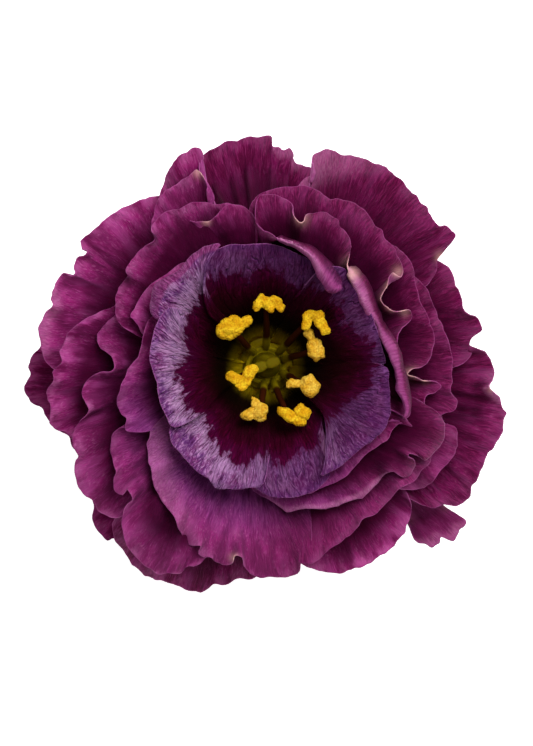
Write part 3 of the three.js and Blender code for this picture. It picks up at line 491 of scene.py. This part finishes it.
def rolled_margin(roll, degrees, a, walked):
    """Where a margin is rolled, the body's share of the way, and how far the roll leans in and rises."""
    start, end = roll["from"], roll["to"]
    rolled = smoothstep(degrees, start, start + ROLL_EASE_DEGREES)
    rolled = rolled * (1 - smoothstep(degrees, end - ROLL_EASE_DEGREES, end))
    curl = rolled * np.maximum(0, (a - ROLL_START) / (1 - ROLL_START))
    tip = np.sqrt(1 - (1 - np.clip(walked / ROLL_TIP_LENGTH, 0, 1)) ** 2)
    inward = along(roll["inward"], degrees) * curl**ROLL_POWER * mix(ROLL_TIP_SHARE, 1, tip)
    rise = roll["rise"] * np.sin(ROLL_HALF_TURNS * np.pi * curl)
    return rolled, mix(a, np.minimum(1, a / ROLL_START), rolled), inward, rise


def grid_normals(p):
    normal = np.cross(np.gradient(p, axis=0), np.gradient(p, axis=1))
    return normal / np.maximum(np.linalg.norm(normal, axis=2, keepdims=True), 1e-9)


def spots(text, p, d):
    """How near the points are to spots of degrees:radius:size, fading away from the margin."""
    near = np.zeros(p.shape[:2])
    for degrees, radius, size in trace(text) if text else ():
        angle = math.radians(degrees)
        away = np.hypot(p[..., 0] - radius * math.cos(angle), p[..., 1] - radius * math.sin(angle))
        near = np.maximum(near, np.exp(-((away / size) ** 2)) * np.exp(-d / 2))
    return near


def relief_of(petal, s, d, seed):
    pleat_width, pleat_height = petal.get("pleats", (1, 0))
    pleats = pleat_height * np.sin(2 * np.pi * s / pleat_width + wave(PLEAT_WAVE, s, d, seed))
    return sum(wave(shape, s, d, seed) for shape in RELIEF) + pleats


def petal_face(petal, seed, cup):
    """A petal's inner face as a grid of points from foot to margin, with its places on the blade."""
    levels, total = margin_levels(petal, seed)
    points = trace(petal["rim"])
    near = (points[0, 0] + points[-1, 0]) / 2
    u = np.linspace(0, 1, levels.shape[1])
    s = u * total
    calm_radius = polar_of(levels[CALM_LEVEL], near)[1]
    rim_degrees = polar_of(levels[RIM_LEVEL], near)[0]
    centre = (rim_degrees[0] + rim_degrees[-1]) / 2
    depth = mix(*petal["depth"], u)
    foot_radius, foot_height = foot_of(depth)
    chord = np.hypot(calm_radius - foot_radius, bell_height(depth, calm_radius) - foot_height)
    along_blade, distance = blade_rows(float(np.mean(chord) * BLADE_BULGE), cup)
    rows = calmed(levels, distance)
    row_degrees, row_radius = polar_of(rows[..., :2], np.full(len(rows), near))
    a, d = along_blade[:, None], distance[:, None]

    spread = mix(CLAW_SHARE, 1, 1 - (1 - a) ** CLAW_POWER)
    if cup:
        sides = [np.interp(a, CLAW_PLACES, (*shares[::-1], 1)) for shares in petal["claw"]]
        spread = mix(*sides, u)
    degrees = mix(centre, row_degrees, spread)
    rolled, body, inward, rise = np.zeros_like(u), a, 0, 0
    if "roll" in petal:
        rolled, body, inward, rise = rolled_margin(petal["roll"], rim_degrees, a, s)
    body_radius = mix(foot_radius, row_radius, body)

    free = smoothstep(u, 0.05, 0.2) * (1 - smoothstep(u, 0.8, 0.95))
    phase = math.radians(rim_degrees[0] * FRILL_PHASE)
    frill = FRILL_HEIGHT * np.sin(2 * np.pi * round(total / FRILL_LENGTH) * u + phase) * a**4
    frill = (FRILL_LEAST + depth) * (frill + wave(FRILL_WAVE, s, d, seed))
    ruffle = np.clip(calm_radius - row_radius, -RUFFLE["most"], RUFFLE["most"])
    ruffle = ruffle * RUFFLE["cup" if cup else "petal"] * np.exp(-d / RUFFLE["fade"])
    fold = FOLD["height"] * rows[..., 2] * np.exp(-d / FOLD["fade"])
    small = (wave(SMALL_WAVE, s, d, seed) + fold) * (CUP_SMALL_SHARE if cup else 1)
    reflex = petal.get("reflex", 0) * np.exp(-d / REFLEX_FADE)
    height = bell_height(depth, body_radius) + rise - petal.get("droop", 0) * a**3
    height = height + (ruffle + frill + small - reflex) * free
    angle = np.radians(degrees)
    out = (body_radius - inward) * (1 + (MEASURED_HEIGHT - height) / CAMERA_HEIGHT)
    p = np.stack([out * np.cos(angle), out * np.sin(angle), height], axis=2)

    relief = relief_of(petal, s, d, seed) * smoothstep(a, 0, 0.15) * (CUP_RELIEF_SHARE if cup else 1)
    shift = grid_normals(p) * (relief * free)[..., None]
    shift[..., :2] *= 1 - MARGIN_HOLD["share"] * np.exp(-d / MARGIN_HOLD["fade"])[..., None]
    p = p + shift
    places = {
        "s": s, "d": d, "degrees": degrees, "radius": out, "rolled": rolled,
        "ridge": sum(wave(shape, s, d, seed) for shape in RIDGES),
        "crease": spots(petal.get("cream"), p, d * (1 - 0.85 * rolled)),
        "crevice": spots(petal.get("dark"), p, d / 10),
    }
    return p, dict(zip(places, np.broadcast_arrays(*places.values())))


def closed_faces(rows, columns):
    """Faces of a grid, of the same grid behind it and of the strip between their outlines."""
    size = rows * columns
    index = np.arange(size).reshape(rows, columns)
    corners = [index[:-1, :-1], index[1:, :-1], index[1:, 1:], index[:-1, 1:]]
    quads = np.stack(corners, axis=2).reshape(-1, 4)
    outline = np.concatenate([index[0], index[1:-1, -1], index[-1][::-1], index[1:-1, 0][::-1]])
    following = np.roll(outline, -1)
    strip = np.column_stack([outline, following, following + size, outline + size])
    return np.vstack([quads, quads[:, ::-1] + size, strip]).tolist()


def petal_marks(petal, at, number, cup):
    """What the materials read at each point of a petal's grid."""
    degrees, d = at["degrees"], at["d"]
    violet = smoothstep(BLUSH["radius"] - at["radius"], 0, BLUSH["fade"]) * side_of_bloom("violet", degrees)
    violet = violet * petal.get("blush", BLUSH["usual"])
    if "violet" in petal:
        start, full = petal["violet"]
        violet = np.maximum(violet, BLUSH["rolled"] * smoothstep(-degrees, -start, -full))
    # Painted highlight along the crest of the roll.
    lip = at["rolled"] * np.exp(-(((d - LIP["place"]) / LIP["width"]) ** 2))
    lip = lip * along(LIP["strength"], degrees) * (1 - violet)
    pale = petal.get("pale", "0:0:0")
    width = along(pale, degrees)
    band = along(pale, degrees, 2) * smoothstep(width - d, -0.1, 0.4 if cup else 0.3 + 0.6 * width)
    # Painted light on the cup rim: lavender on the lit side, plum on the far side.
    lavender = mix(LEAST_LAVENDER, 1, side_of_bloom("lavender", degrees))
    shade = SHADE * side_of_bloom("shade", degrees)
    return {
        "across": at["s"] + 97 * number,
        "inwards": d,
        "middle": at["radius"],
        **{key: at[key] for key in ("ridge", "crease", "crevice")},
        "violet": violet,
        "pale": np.maximum(band, lip),
        "gloom": d / along(petal.get("reach", "0:7"), degrees),
        "shade": np.maximum(shade, along(petal.get("dim", "0:0"), degrees)),
        "lavender": lavender * along(petal.get("lavender", "0:1"), degrees),
        "throat": along(petal.get("throat", THROAT_EDGE), degrees % 360) - at["radius"],
        "tone": np.full(d.shape, petal.get("tone", noise2(number * 3.7, 0.5, 5))),
    }


def petal_mesh(name, petal, number, cup):
    face, at = petal_face(petal, 100 * number + 7, cup)
    thickness = mix(MARGIN_THICKNESS, BLADE_THICKNESS, 1 - np.exp(-at["d"] / THICKENING_LENGTH))
    back = face - grid_normals(face) * thickness[..., None]
    low = back[..., 2] < FLOOR_GAP
    back[..., 2] = np.where(low, FLOOR_GAP, back[..., 2])
    face[..., 2] = np.where(low, np.maximum(face[..., 2], FLOOR_GAP + thickness), face[..., 2])
    verts = np.vstack([face.reshape(-1, 3), back.reshape(-1, 3)])
    mesh = mesh_of(name, verts, closed_faces(*face.shape[:2]))
    for key, grid in petal_marks(petal, at, number, cup).items():
        set_floats(mesh, key, np.tile(np.ravel(grid), 2))
    inside_out = at["rolled"] * smoothstep(at["d"], *INSIDE_OUT)
    inside_out[:, [0, -1]] = 1
    set_floats(mesh, "face", np.concatenate([np.ones(inside_out.size), inside_out.ravel()]))
    return mesh


def mesh_of(name, verts, faces):
    mesh = bpy.data.meshes.new(name)
    mesh.from_pydata((np.asarray(verts) * MM).tolist(), [], faces)
    mesh.shade_smooth()
    mesh.validate()
    mesh.update()
    return mesh


def set_floats(mesh, name, values):
    layer = mesh.attributes.new(name, "FLOAT", "POINT")
    layer.data.foreach_set("value", np.asarray(values, np.float32))


def linked(name, data):
    made = bpy.data.objects.new(name, data)
    bpy.context.scene.collection.objects.link(made)
    return made


def add_piece(name, mesh, material, node):
    piece = linked(name, mesh)
    mesh.materials.append(material)
    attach(piece, "root")
    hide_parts(node)


# Materials.
def linear(colour):
    """Red, green and blue from 0 to 255, as Blender's sockets take them."""
    parts = [c / 255 / 12.92 if c <= 10.3 else ((c / 255 + 0.055) / 1.055) ** 2.4 for c in colour]
    return (*parts, 1)


class Surface:
    """A material with short calls for its nodes."""

    def __init__(self, name, roughness=0.55, subsurface=0, specular=0.35):
        self.material = bpy.data.materials.new(name)
        self.material.use_nodes = True
        self.tree = self.material.node_tree
        self.shader = self.tree.nodes["Principled BSDF"]
        self.set("Roughness", roughness)
        self.set("Specular IOR Level", specular)
        self.set("Subsurface Weight", subsurface)
        self.set("Subsurface Scale", 0.0012)
        self.set("Subsurface Radius", (1, 0.35, 0.7))

    def set(self, socket, value):
        self.put(self.shader.inputs[socket], value)

    def put(self, socket, value):
        if isinstance(value, bpy.types.NodeSocket):
            self.tree.links.new(value, socket)
        elif isinstance(value, tuple) and socket.type == "RGBA":
            socket.default_value = linear(value)
        else:
            socket.default_value = value

    def node(self, kind, values, output=0, **settings):
        """One output of a new node, with values in the sockets of these names or numbers."""
        node = self.tree.nodes.new("ShaderNode" + kind)
        for key, value in settings.items():
            setattr(node, key, value)
        for key, value in values.items():
            self.put(node.inputs[key], value)
        return node.outputs[output]

    def mark(self, name):
        return self.node("Attribute", {}, "Fac", attribute_name=name)

    def math(self, operation, a, b=0):
        return self.node("Math", {0: a, 1: b}, operation=operation)

    def times(self, a, b):
        return self.math("MULTIPLY", a, b)

    def plus(self, a, b):
        return self.math("ADD", a, b)

    def noise(self, vector, scale=1, detail=3, roughness=0.55):
        values = {"Vector": vector, "Scale": scale, "Detail": detail, "Roughness": roughness}
        return self.node("TexNoise", values, "Fac")

    def blade_noise(self, places, across_scale, inwards_scale, row=0, **settings):
        """Noise over a blade's own places, stretched by its two scales."""
        x, y = self.times(places[0], across_scale), self.times(places[1], inwards_scale)
        return self.noise(self.node("CombineXYZ", {"X": x, "Y": y, "Z": row}), **settings)

    def remap(self, value, low, high, to_low=0, to_high=1, smooth=True):
        values = dict(enumerate((value, low, high, to_low, to_high)))
        return self.node("MapRange", values, interpolation_type="SMOOTHSTEP" if smooth else "LINEAR")

    def blend(self, share, a, b):
        return self.node("Mix", {0: share, 6: a, 7: b}, 2, data_type="RGBA", clamp_factor=True)

    def coat(self, under, value, low, high, colour, share=1):
        """A colour over another one, growing to its share as the value goes from low to high."""
        return self.blend(self.remap(value, low, high, 0, share), under, colour)

    def bump(self, height, strength, distance):
        values = {"Height": height, "Strength": strength, "Distance": distance}
        self.set("Normal", self.node("Bump", values))


def blade_patterns(m, fineness):
    """Veins that fan out from the foot, a finer grain and soft blotches."""
    places = m.mark("across"), m.mark("inwards")
    sway = m.blade_noise(places, 0.5, 0.25, 3, detail=2)
    bent = m.plus(places[0], m.times(sway, 1.6)), places[1]
    veins = m.blade_noise(bent, 3 * fineness, 0.32 * fineness, detail=5, roughness=0.7)
    grain = m.blade_noise(bent, 4.6 * fineness, 1.1 * fineness, detail=4)
    return places, veins, grain, m.blade_noise(places, 0.3, 0.18, detail=4)


def petal_material():
    m = Surface("petal", subsurface=0.1, specular=0.03)
    m.set("Sheen Weight", 0.02)
    m.set("Sheen Roughness", 0.45)
    m.set("Sheen Tint", (235, 150, 220))
    (_, inwards), veins, grain, blotch = blade_patterns(m, 1)

    face = m.coat((88, 0, 52), blotch, 0.32, 0.68, (150, 26, 106))
    face = m.coat(face, veins, 0.52, 0.68, (178, 68, 144), 0.65)
    face = m.coat(face, veins, 0.48, 0.34, (70, 0, 44), 0.85)

    # Painted highlight on the ridges of the relief and painted shade in its valleys.
    ridge = m.mark("ridge")
    face = m.coat(face, ridge, 0.05, 0.6, (174, 70, 142), 0.5)
    face = m.coat(face, ridge, -0.05, -0.6, (70, 0, 42), 0.65)

    # Painted sheen in soft patches within 3 mm of the margin.
    faded = m.times(m.remap(inwards, 3, 0, 0, 0.6), m.remap(blotch, 0.42, 0.62))
    face = m.blend(faded, face, (184, 100, 156))
    # A random lightness per petal; where a petal sets it, raised as painted light on some petals and
    # lowered as painted shade on others.
    face = m.blend(m.remap(m.mark("tone"), -1, 1, 0, 0.35, smooth=False), face, (160, 62, 130))
    # Lighter violet: partly the petals' own colour, partly painted light over the cup's shadow.
    violet = m.coat((98, 32, 104), veins, 0.38, 0.62, (152, 74, 152))
    face = m.blend(m.mark("violet"), face, violet)
    flecks = m.times(m.remap(grain, 0.5, 0.74, 0, 0.6), m.remap(blotch, 0.38, 0.6))
    face = m.blend(flecks, face, (190, 106, 162))
    # Painted shade on the side away from the light and on petals with extra shade.
    shaded = m.coat((58, 2, 32), veins, 0.4, 0.62, (104, 18, 62))
    face = m.blend(m.mark("shade"), face, shaded)

    # Darker towards the foot: partly the petal's own darker base, partly painted shade where it runs under
    # the petal above.
    gloom = m.mark("gloom")
    face = m.coat(face, gloom, 0.1, 0.9, (56, 0, 32), 0.92)
    face = m.coat(face, gloom, 0.9, 2.2, (20, 0, 11), 0.8)

    back = m.coat((128, 38, 100), veins, 0.35, 0.7, (160, 74, 134))
    back = m.coat(back, inwards, 5, 20, (120, 110, 84), 0.7)
    colour = m.blend(m.mark("face"), back, face)

    # Paler margin bands and the painted highlight on the crests of rolled margins.
    pale = m.coat((178, 88, 148), grain, 0.3, 0.7, (212, 136, 180))
    colour = m.blend(m.mark("pale"), colour, pale)
    # Painted highlight along the very edge of the margin.
    colour = m.coat(colour, inwards, 0.25, 0, (176, 84, 148), 0.3)
    # Painted shadow in the hollows at the dark spots.
    colour = m.blend(m.times(m.mark("crevice"), 0.85), colour, (34, 0, 20))
    # Pale spots on tight folds, partly the fold's paler inside and partly a painted highlight.
    colour = m.blend(m.times(m.mark("crease"), 0.8), colour, (222, 172, 160))
    m.set("Base Color", colour)
    m.set("Roughness", m.remap(blotch, 0.3, 0.7, 0.48, 0.64))
    m.bump(m.plus(m.times(veins, 0.6), m.times(grain, 0.4)), 0.8, 0.0008)
    return m.material


def cup_rim(m, patterns, fine):
    """The lavender rim, plum where the light doesn't reach, with fine creases darkened by painted shade."""
    places, veins, _, blotch = patterns
    ridge = m.mark("ridge")
    rim = m.coat((98, 46, 112), blotch, 0.38, 0.62, (124, 54, 112))
    rim = m.coat(rim, fine, 0.47, 0.62, (196, 140, 194), 0.9)
    # Painted highlight on the ridges of the relief.
    rim = m.coat(rim, ridge, 0, 0.6, (192, 142, 190), 0.5)
    plum = m.coat((68, 14, 60), fine, 0.42, 0.66, (102, 40, 98))
    rim = m.blend(m.mark("lavender"), plum, rim)

    rim = m.coat(rim, veins, 0.49, 0.34, (60, 12, 54), 0.9)
    rim = m.coat(rim, places[1], 3, 0.4, (100, 54, 116), 0.25)
    # Painted shade in the valleys of the relief.
    rim = m.coat(rim, ridge, -0.05, -0.6, (78, 26, 76), 0.45)
    creases = m.blade_noise(places, 0.7, 0.12, 11, detail=1)
    creases = m.math("ABSOLUTE", m.math("SUBTRACT", creases, 0.5))
    # Painted shade in the fine creases.
    return m.coat(rim, creases, 0.03, 0, (78, 26, 84), 0.5), creases


def cup_throat(m, veins, edge):
    """The maroon throat, dark towards the middle and olive at the foot, the olive painted bright to stand
    in for light deep in the cup.
    """
    middle = m.mark("middle")
    throat = m.coat((56, 1, 27), edge, 1, 8, (34, 4, 8))
    throat = m.blend(m.times(m.remap(veins, 0.5, 0.66), m.remap(edge, 6.5, 0.5)), throat, (94, 4, 50))
    throat = m.coat(throat, middle, 11, 8, (20, 8, 2))
    return m.coat(throat, middle, 7.6, 3.8, (220, 184, 8))


def cup_material():
    m = Surface("cup_petal", subsurface=0.08, specular=0.03)
    patterns = blade_patterns(m, 0.8)
    places, veins, grain, _ = patterns
    fine = m.plus(m.times(veins, 0.6), m.times(grain, 0.4))
    rim, creases = cup_rim(m, patterns, fine)

    flames = m.blade_noise(places, 0.45, 0.2, 7, detail=6, roughness=0.68)
    edge = m.plus(m.mark("throat"), m.times(m.math("SUBTRACT", flames, 0.5), 9))
    lavender = m.mark("lavender")
    streaks = m.times(m.remap(edge, -4.5, -0.6), m.remap(fine, 0.36, 0.6))
    # The streaks are paler and stronger on the painted lit side.
    streaks = m.times(streaks, m.remap(lavender, 0, 1, 0.25, 0.95))
    rim = m.blend(streaks, rim, m.blend(lavender, (134, 84, 150), (190, 146, 190)))
    face = m.blend(m.remap(edge, -0.3, 0.4), rim, cup_throat(m, veins, edge))

    border = m.times(m.remap(edge, -2, 0, 0, 0.4), m.remap(edge, 3, 0.5))
    face = m.blend(border, face, (80, 8, 62))
    back = m.coat((128, 58, 120), veins, 0.35, 0.7, (176, 118, 168))
    colour = m.blend(m.math("MAXIMUM", m.mark("face"), m.remap(edge, -1, 1)), back, face)
    strip = m.coat((100, 26, 80), fine, 0.4, 0.62, (150, 72, 128))
    colour = m.blend(m.times(m.mark("pale"), 1.25), colour, strip)
    # Painted highlight along the very edge of the rim.
    lip = m.times(m.remap(places[1], 0.25, 0, 0, 0.4), m.remap(edge, 0.5, -1))
    m.set("Base Color", m.blend(lip, colour, (164, 90, 150)))
    m.bump(m.plus(fine, m.times(m.remap(creases, 0.05, 0), -0.5)), 0.8, 0.0007)
    return m.material


def pollen_material(name, crevice, dark, light):
    m = Surface(name, roughness=0.8, subsurface=0.05, specular=0.15)
    place = m.node("TexCoord", {}, "Object")
    colour = m.coat(dark, m.noise(place, scale=700), 0.35, 0.65, light)
    # Painted shade in the hollows between the pollen grains.
    m.set("Base Color", m.blend(m.times(m.mark("pit"), 0.62), colour, crevice))
    m.bump(m.noise(place, scale=4000), 0.6, 0.0003)
    return m.material


def plain_material(name, dark, light, scale=500, roughness=0.5, subsurface=0, bump=0.3, stretch=1, top=()):
    """Two colours in soft blotches, and another one above a height when top gives both."""
    m = Surface(name, roughness=roughness, subsurface=subsurface, specular=0.02)
    place = m.node("TexCoord", {}, "Object")
    stretched = m.node("Mapping", {"Vector": place, "Scale": (1, 1, stretch)})
    blotch = m.noise(stretched, scale=scale, detail=4)
    fine = m.noise(stretched, scale=scale * 5)
    colour = m.coat(dark, blotch, 0.35, 0.68, light)
    if top:
        height = m.node("SeparateXYZ", {"Vector": place}, "Z")
        colour = m.coat(colour, height, top[0] * MM, (top[0] + 2) * MM, top[1])
    m.set("Base Color", colour)
    m.bump(m.plus(m.times(blotch, 0.5), m.times(fine, 0.5)), bump, 0.0004)
    return m.material


# Stamens, pistil and calyx.
def cells(points, size, seed):
    """Distance to the nearest of scattered points, in cell sizes."""
    q = points / size
    base = np.floor(q).astype(int)
    best = np.full(len(q), np.inf)
    for step in itertools.product((-1, 0, 1), repeat=3):
        cell = base + step
        key = cell[:, 0] * 73 + cell[:, 2] * 7919
        jitter = np.column_stack([lattice(key, cell[:, 1], seed + k) for k in range(3)]) * 0.4 + 0.5
        best = np.minimum(best, np.linalg.norm(cell + jitter - q, axis=1))
    return best


def lobe(x, y, length, width, degrees, height):
    """A squarish ball, flattened and turned."""
    bm = bmesh.new()
    bmesh.ops.create_icosphere(bm, subdivisions=3, radius=1)
    verts = np.array([v.co[:] for v in bm.verts])
    faces = [[v.index for v in f.verts] for f in bm.faces]
    bm.free()
    verts = np.sign(verts) * np.abs(verts) ** LOBE_SQUARENESS
    verts = verts * (length / 2, width / 2, width * LOBE_FLATNESS)
    a = math.radians(degrees)
    verts = verts @ np.array([[math.cos(a), math.sin(a), 0], [-math.sin(a), math.cos(a), 0], [0, 0, 1]])
    return verts + (x, y, height), faces


def merge(parts):
    verts, faces, start = [], [], 0
    for v, f in parts:
        verts.append(np.asarray(v))
        faces += [[i + start for i in face] for face in f]
        start += len(v)
    return np.vstack(verts), faces


def fused(name, parts, voxel):
    """Closed parts made into one even mesh."""
    rough = linked("rough", mesh_of("rough", *merge(parts)))
    modifier = rough.modifiers.new("fuse", "REMESH")
    modifier.mode = "VOXEL"
    modifier.voxel_size = voxel * MM
    made = bpy.data.meshes.new_from_object(rough.evaluated_get(bpy.context.evaluated_depsgraph_get()))
    bpy.data.objects.remove(rough)
    made.name = name
    return made


def pollen(number, height, lobes):
    """An anther of squarish lobes, crusted with pollen grains."""
    mesh = fused(f"anther_{number}", [lobe(*shape, height) for shape in lobes], POLLEN_VOXEL)
    places = np.empty(len(mesh.vertices) * 3)
    normals = np.empty_like(places)
    mesh.vertices.foreach_get("co", places)
    mesh.vertex_normals.foreach_get("vector", normals)
    points = places.reshape(-1, 3) / MM
    x, y, z = points.T
    near = cells(points, POLLEN_GRAIN, number)
    # How much painted shade each point gets, growing away from the nearest grain's centre.
    set_floats(mesh, "pit", smoothstep(near, *GRAIN["pit"]))
    lumps = LUMP["height"] * noise2(x / LUMP["length"], y / LUMP["length"], number)
    dents = DENT["height"] * noise2(y / DENT["across"], z / DENT["down"], number + 1)
    grains = GRAIN["height"] * np.sqrt(np.maximum(0, 1 - (near / GRAIN["radius"]) ** 2)) - GRAIN["sunk"]
    moved = places + normals * np.repeat((grains + lumps + dents) * MM, 3)
    mesh.vertices.foreach_set("co", moved)
    mesh.shade_smooth()
    mesh.update()
    return mesh


def ring_form(rings, ends):
    """A closed form from rings of points and the middle point of either end."""
    sides, last = len(rings[0]), len(rings) - 1
    first_end, last_end = len(rings) * sides, len(rings) * sides + 1
    faces = []
    for i in range(last):
        for k in range(sides):
            a, b = i * sides + k, i * sides + (k + 1) % sides
            faces.append([a, b, b + sides, a + sides])
    for k in range(sides):
        faces.append([(k + 1) % sides, k, first_end])
        faces.append([last * sides + k, last * sides + (k + 1) % sides, last_end])
    return np.vstack([*rings, ends]), faces


def tube(path, radii, sides):
    tangents = np.gradient(path, axis=0)
    tangents /= np.linalg.norm(tangents, axis=1, keepdims=True)
    first = np.cross(tangents, (0.3, -0.2, 0.1))
    first /= np.linalg.norm(first, axis=1, keepdims=True)
    second = np.cross(tangents, first)
    turn = np.linspace(0, 2 * np.pi, sides, endpoint=False)
    around = first[:, None] * np.cos(turn)[:, None] + second[:, None] * np.sin(turn)[:, None]
    return ring_form(path[:, None] + radii[:, None, None] * around, path[[0, -1]])


def turned(outline, sides, ribs, rib_height):
    """A form turned round the Z axis from its half outline, with soft ribs."""
    turn = np.linspace(0, 2 * np.pi, sides, endpoint=False)
    rings = []
    for radius, height in outline:
        r = radius * (1 + rib_height * np.cos(ribs * turn))
        rings.append(np.column_stack([r * np.cos(turn), r * np.sin(turn), np.full(sides, height)]))
    return ring_form(rings, [(0, 0, outline[0, 1]), (0, 0, outline[-1, 1])])


def refined(outline, steps=5):
    """An outline with more points and softer corners."""
    outline = np.array(outline, float)
    fine = np.linspace(0, len(outline) - 1, (len(outline) - 1) * steps + 1)
    soft = np.column_stack([np.interp(fine, range(len(outline)), outline[:, k]) for k in range(2)])
    for _ in range(3):
        soft[1:-1] = (soft[:-2] + 2 * soft[1:-1] + soft[2:]) / 4
    return soft


def filament_parts():
    parts = []
    for number, (height, lobes) in enumerate(ANTHERS):
        x, y, _, width, _ = lobes[0]
        inwards = FILAMENT_CIRCLE / math.hypot(x, y)
        start = np.array([x * inwards, y * inwards, FILAMENT_FOOT + 0.2])
        middle = np.array([x * 0.55, y * 0.55, mix(FILAMENT_FOOT, height, 0.6)])
        end = np.array([x, y, height - width * LOBE_FLATNESS + 0.1])
        t = np.linspace(0, 1, 26)[:, None]
        path = (1 - t) ** 2 * start + 2 * t * (1 - t) * middle + t**2 * end
        wobble = 0.12 * np.column_stack([noise2(t[:, 0] * 5, 0.5, number + k) for k in (1, 31, 61)])
        path = path + wobble * np.sin(np.pi * t)
        parts.append(tube(path, FILAMENT_RADIUS * np.interp(t[:, 0], *FILAMENT_TAPER), 12))
    parts.append(turned(refined(RING_OUTLINE), 48, 8, 0.02))
    return parts


def sepal(degrees):
    """A narrow pointed leaf with a keel, arching outwards."""
    a = math.radians(degrees)
    direction, across = np.array([math.cos(a), math.sin(a), 0]), np.array([-math.sin(a), math.cos(a), 0])
    turn = np.linspace(0, 2 * np.pi, 16, endpoint=False)
    crease = np.abs(np.cos(turn)) ** 1.4
    rings = []
    for station in np.linspace(0, 1, 30):
        middle = direction * mix(SEPAL["root"], SEPAL["tip"], station)
        middle = middle + (0, 0, SEPAL["height"] + SEPAL["arch"] * math.sin(math.pi * 0.8 * station))
        half = SEPAL["width"] / 2 * (1 - 0.85 * station**2)
        keel = SEPAL["keel"] * (1 - 0.4 * station)
        height = np.where(np.sin(turn) > 0, mix(-0.3 * keel, 0.2, crease), mix(-1.3 * keel, 0.15, crease))
        rings.append(middle + np.outer(half * np.cos(turn), across) + np.outer(height, (0, 0, 1)))
    verts, faces = ring_form(rings, [rings[0].mean(axis=0), rings[-1].mean(axis=0) + direction * 0.4])
    return verts, [face[:1] + face[:0:-1] for face in faces]


def calyx_parts():
    sepals = [sepal(SEPAL["first"] + 360 * i / SEPAL["count"]) for i in range(SEPAL["count"])]
    return [turned(refined(CALYX_OUTLINE, 6), 96, 15, 0.008)] + sepals


# Pieces.
looks = {"petal": petal_material(), "cup_petal": cup_material()}
for number, (name, petal) in enumerate(PETALS.items()):
    cup = name.startswith("cup_")
    kind = "cup_petal" if cup else "petal"
    add_piece("petal_" + name, petal_mesh(name, petal, number, cup), looks[kind], name)

golden = pollen_material("pollen", (176, 116, 0), (210, 154, 4), (232, 192, 30))
buff = pollen_material("pollen_pale", (176, 120, 20), (210, 158, 32), (230, 190, 68))
for number, (height, lobes) in enumerate(ANTHERS, start=1):
    look = buff if number in BUFF_ANTHERS else golden
    add_piece(f"pollen_{number}", pollen(number, height, lobes), look, f"anther_{number}")

# Olive filaments, painted lighter than their own colour to stand in for light deep in the cup, and dark
# red-brown above 19 mm.
stalk = plain_material("filament", (136, 118, 8), (164, 144, 16), stretch=0.3, top=(19, (56, 20, 6)))
filaments = mesh_of("filament_ring", *merge(filament_parts()))
add_piece("filament_ring", filaments, stalk, "filaments")

green = plain_material("pistil", (96, 84, 2), (124, 108, 8), 500, 0.7, 0.2, top=(21.8, (104, 90, 8)))
heads = [lobe(*shape, STIGMA_HEIGHT) for shape in STIGMA_LOBES]
pistil = fused("pistil_body", [turned(refined(PISTIL_OUTLINE), 64, 2, 0.06)] + heads, PISTIL_VOXEL)
add_piece("pistil_body", pistil, green, "pistil")

# The olive where the calyx shows in the throat is painted bright to stand in for light deep in the cup.
leaf = plain_material("calyx", (70, 96, 40), (128, 152, 78), 320, 0.5, 0.1, 0.4, top=(9.5, (150, 126, 6)))
add_piece("calyx_body", mesh_of("calyx_body", *merge(calyx_parts())), leaf, "calyx")

# Floor, light and camera.
FLOOR = [(-3000, -3000, 0), (3000, -3000, 0), (3000, 3000, 0), (-3000, 3000, 0)]
floor_mesh = mesh_of("floor", FLOOR, [[0, 1, 2, 3]])
floor = linked("floor", floor_mesh)
paper = Surface("floor", roughness=0.9, specular=0.1)
paper.shader.inputs["Base Color"].default_value = (0.9, 0.9, 0.9, 1)
paper.set("Emission Color", (255, 255, 255))
paper.set("Emission Strength", 0.88)
floor_mesh.materials.append(paper.material)


def softbox(name, place, size, power):
    light = bpy.data.lights.new(name, "AREA")
    light.shape = "DISK"
    light.size = size
    light.energy = power
    lamp = linked(name, light)
    lamp.location = place
    lamp.rotation_euler = (-Vector(place)).to_track_quat("-Z", "Y").to_euler()


softbox("key", (0.3, 0.4, 0.92), 0.75, 13.6)
softbox("fill", (-0.8, -0.3, 0.9), 0.7, 2.5)

world = bpy.data.worlds.new("studio")
world.use_nodes = True
background = world.node_tree.nodes["Background"].inputs
background["Color"].default_value = (1, 1, 1, 1)
background["Strength"].default_value = 0.16
bpy.context.scene.world = world

# The view is twice HALF_VIEW tall at the measured height, and its middle lies beside the bloom's.
SENSOR = 36
HALF_VIEW = 0.06715
VIEW_MIDDLE = (0.00009, -0.00144)
view = bpy.data.cameras.new("camera")
view.sensor_width = SENSOR
view.lens = SENSOR / 2 * (CAMERA_HEIGHT - MEASURED_HEIGHT) * MM / HALF_VIEW
view.clip_start, view.clip_end = 0.1, 10
camera = linked("camera", view)
camera.location = (*VIEW_MIDDLE, CAMERA_HEIGHT * MM)
bpy.context.scene.camera = camera
bpy.context.scene.view_settings.view_transform = "Standard"
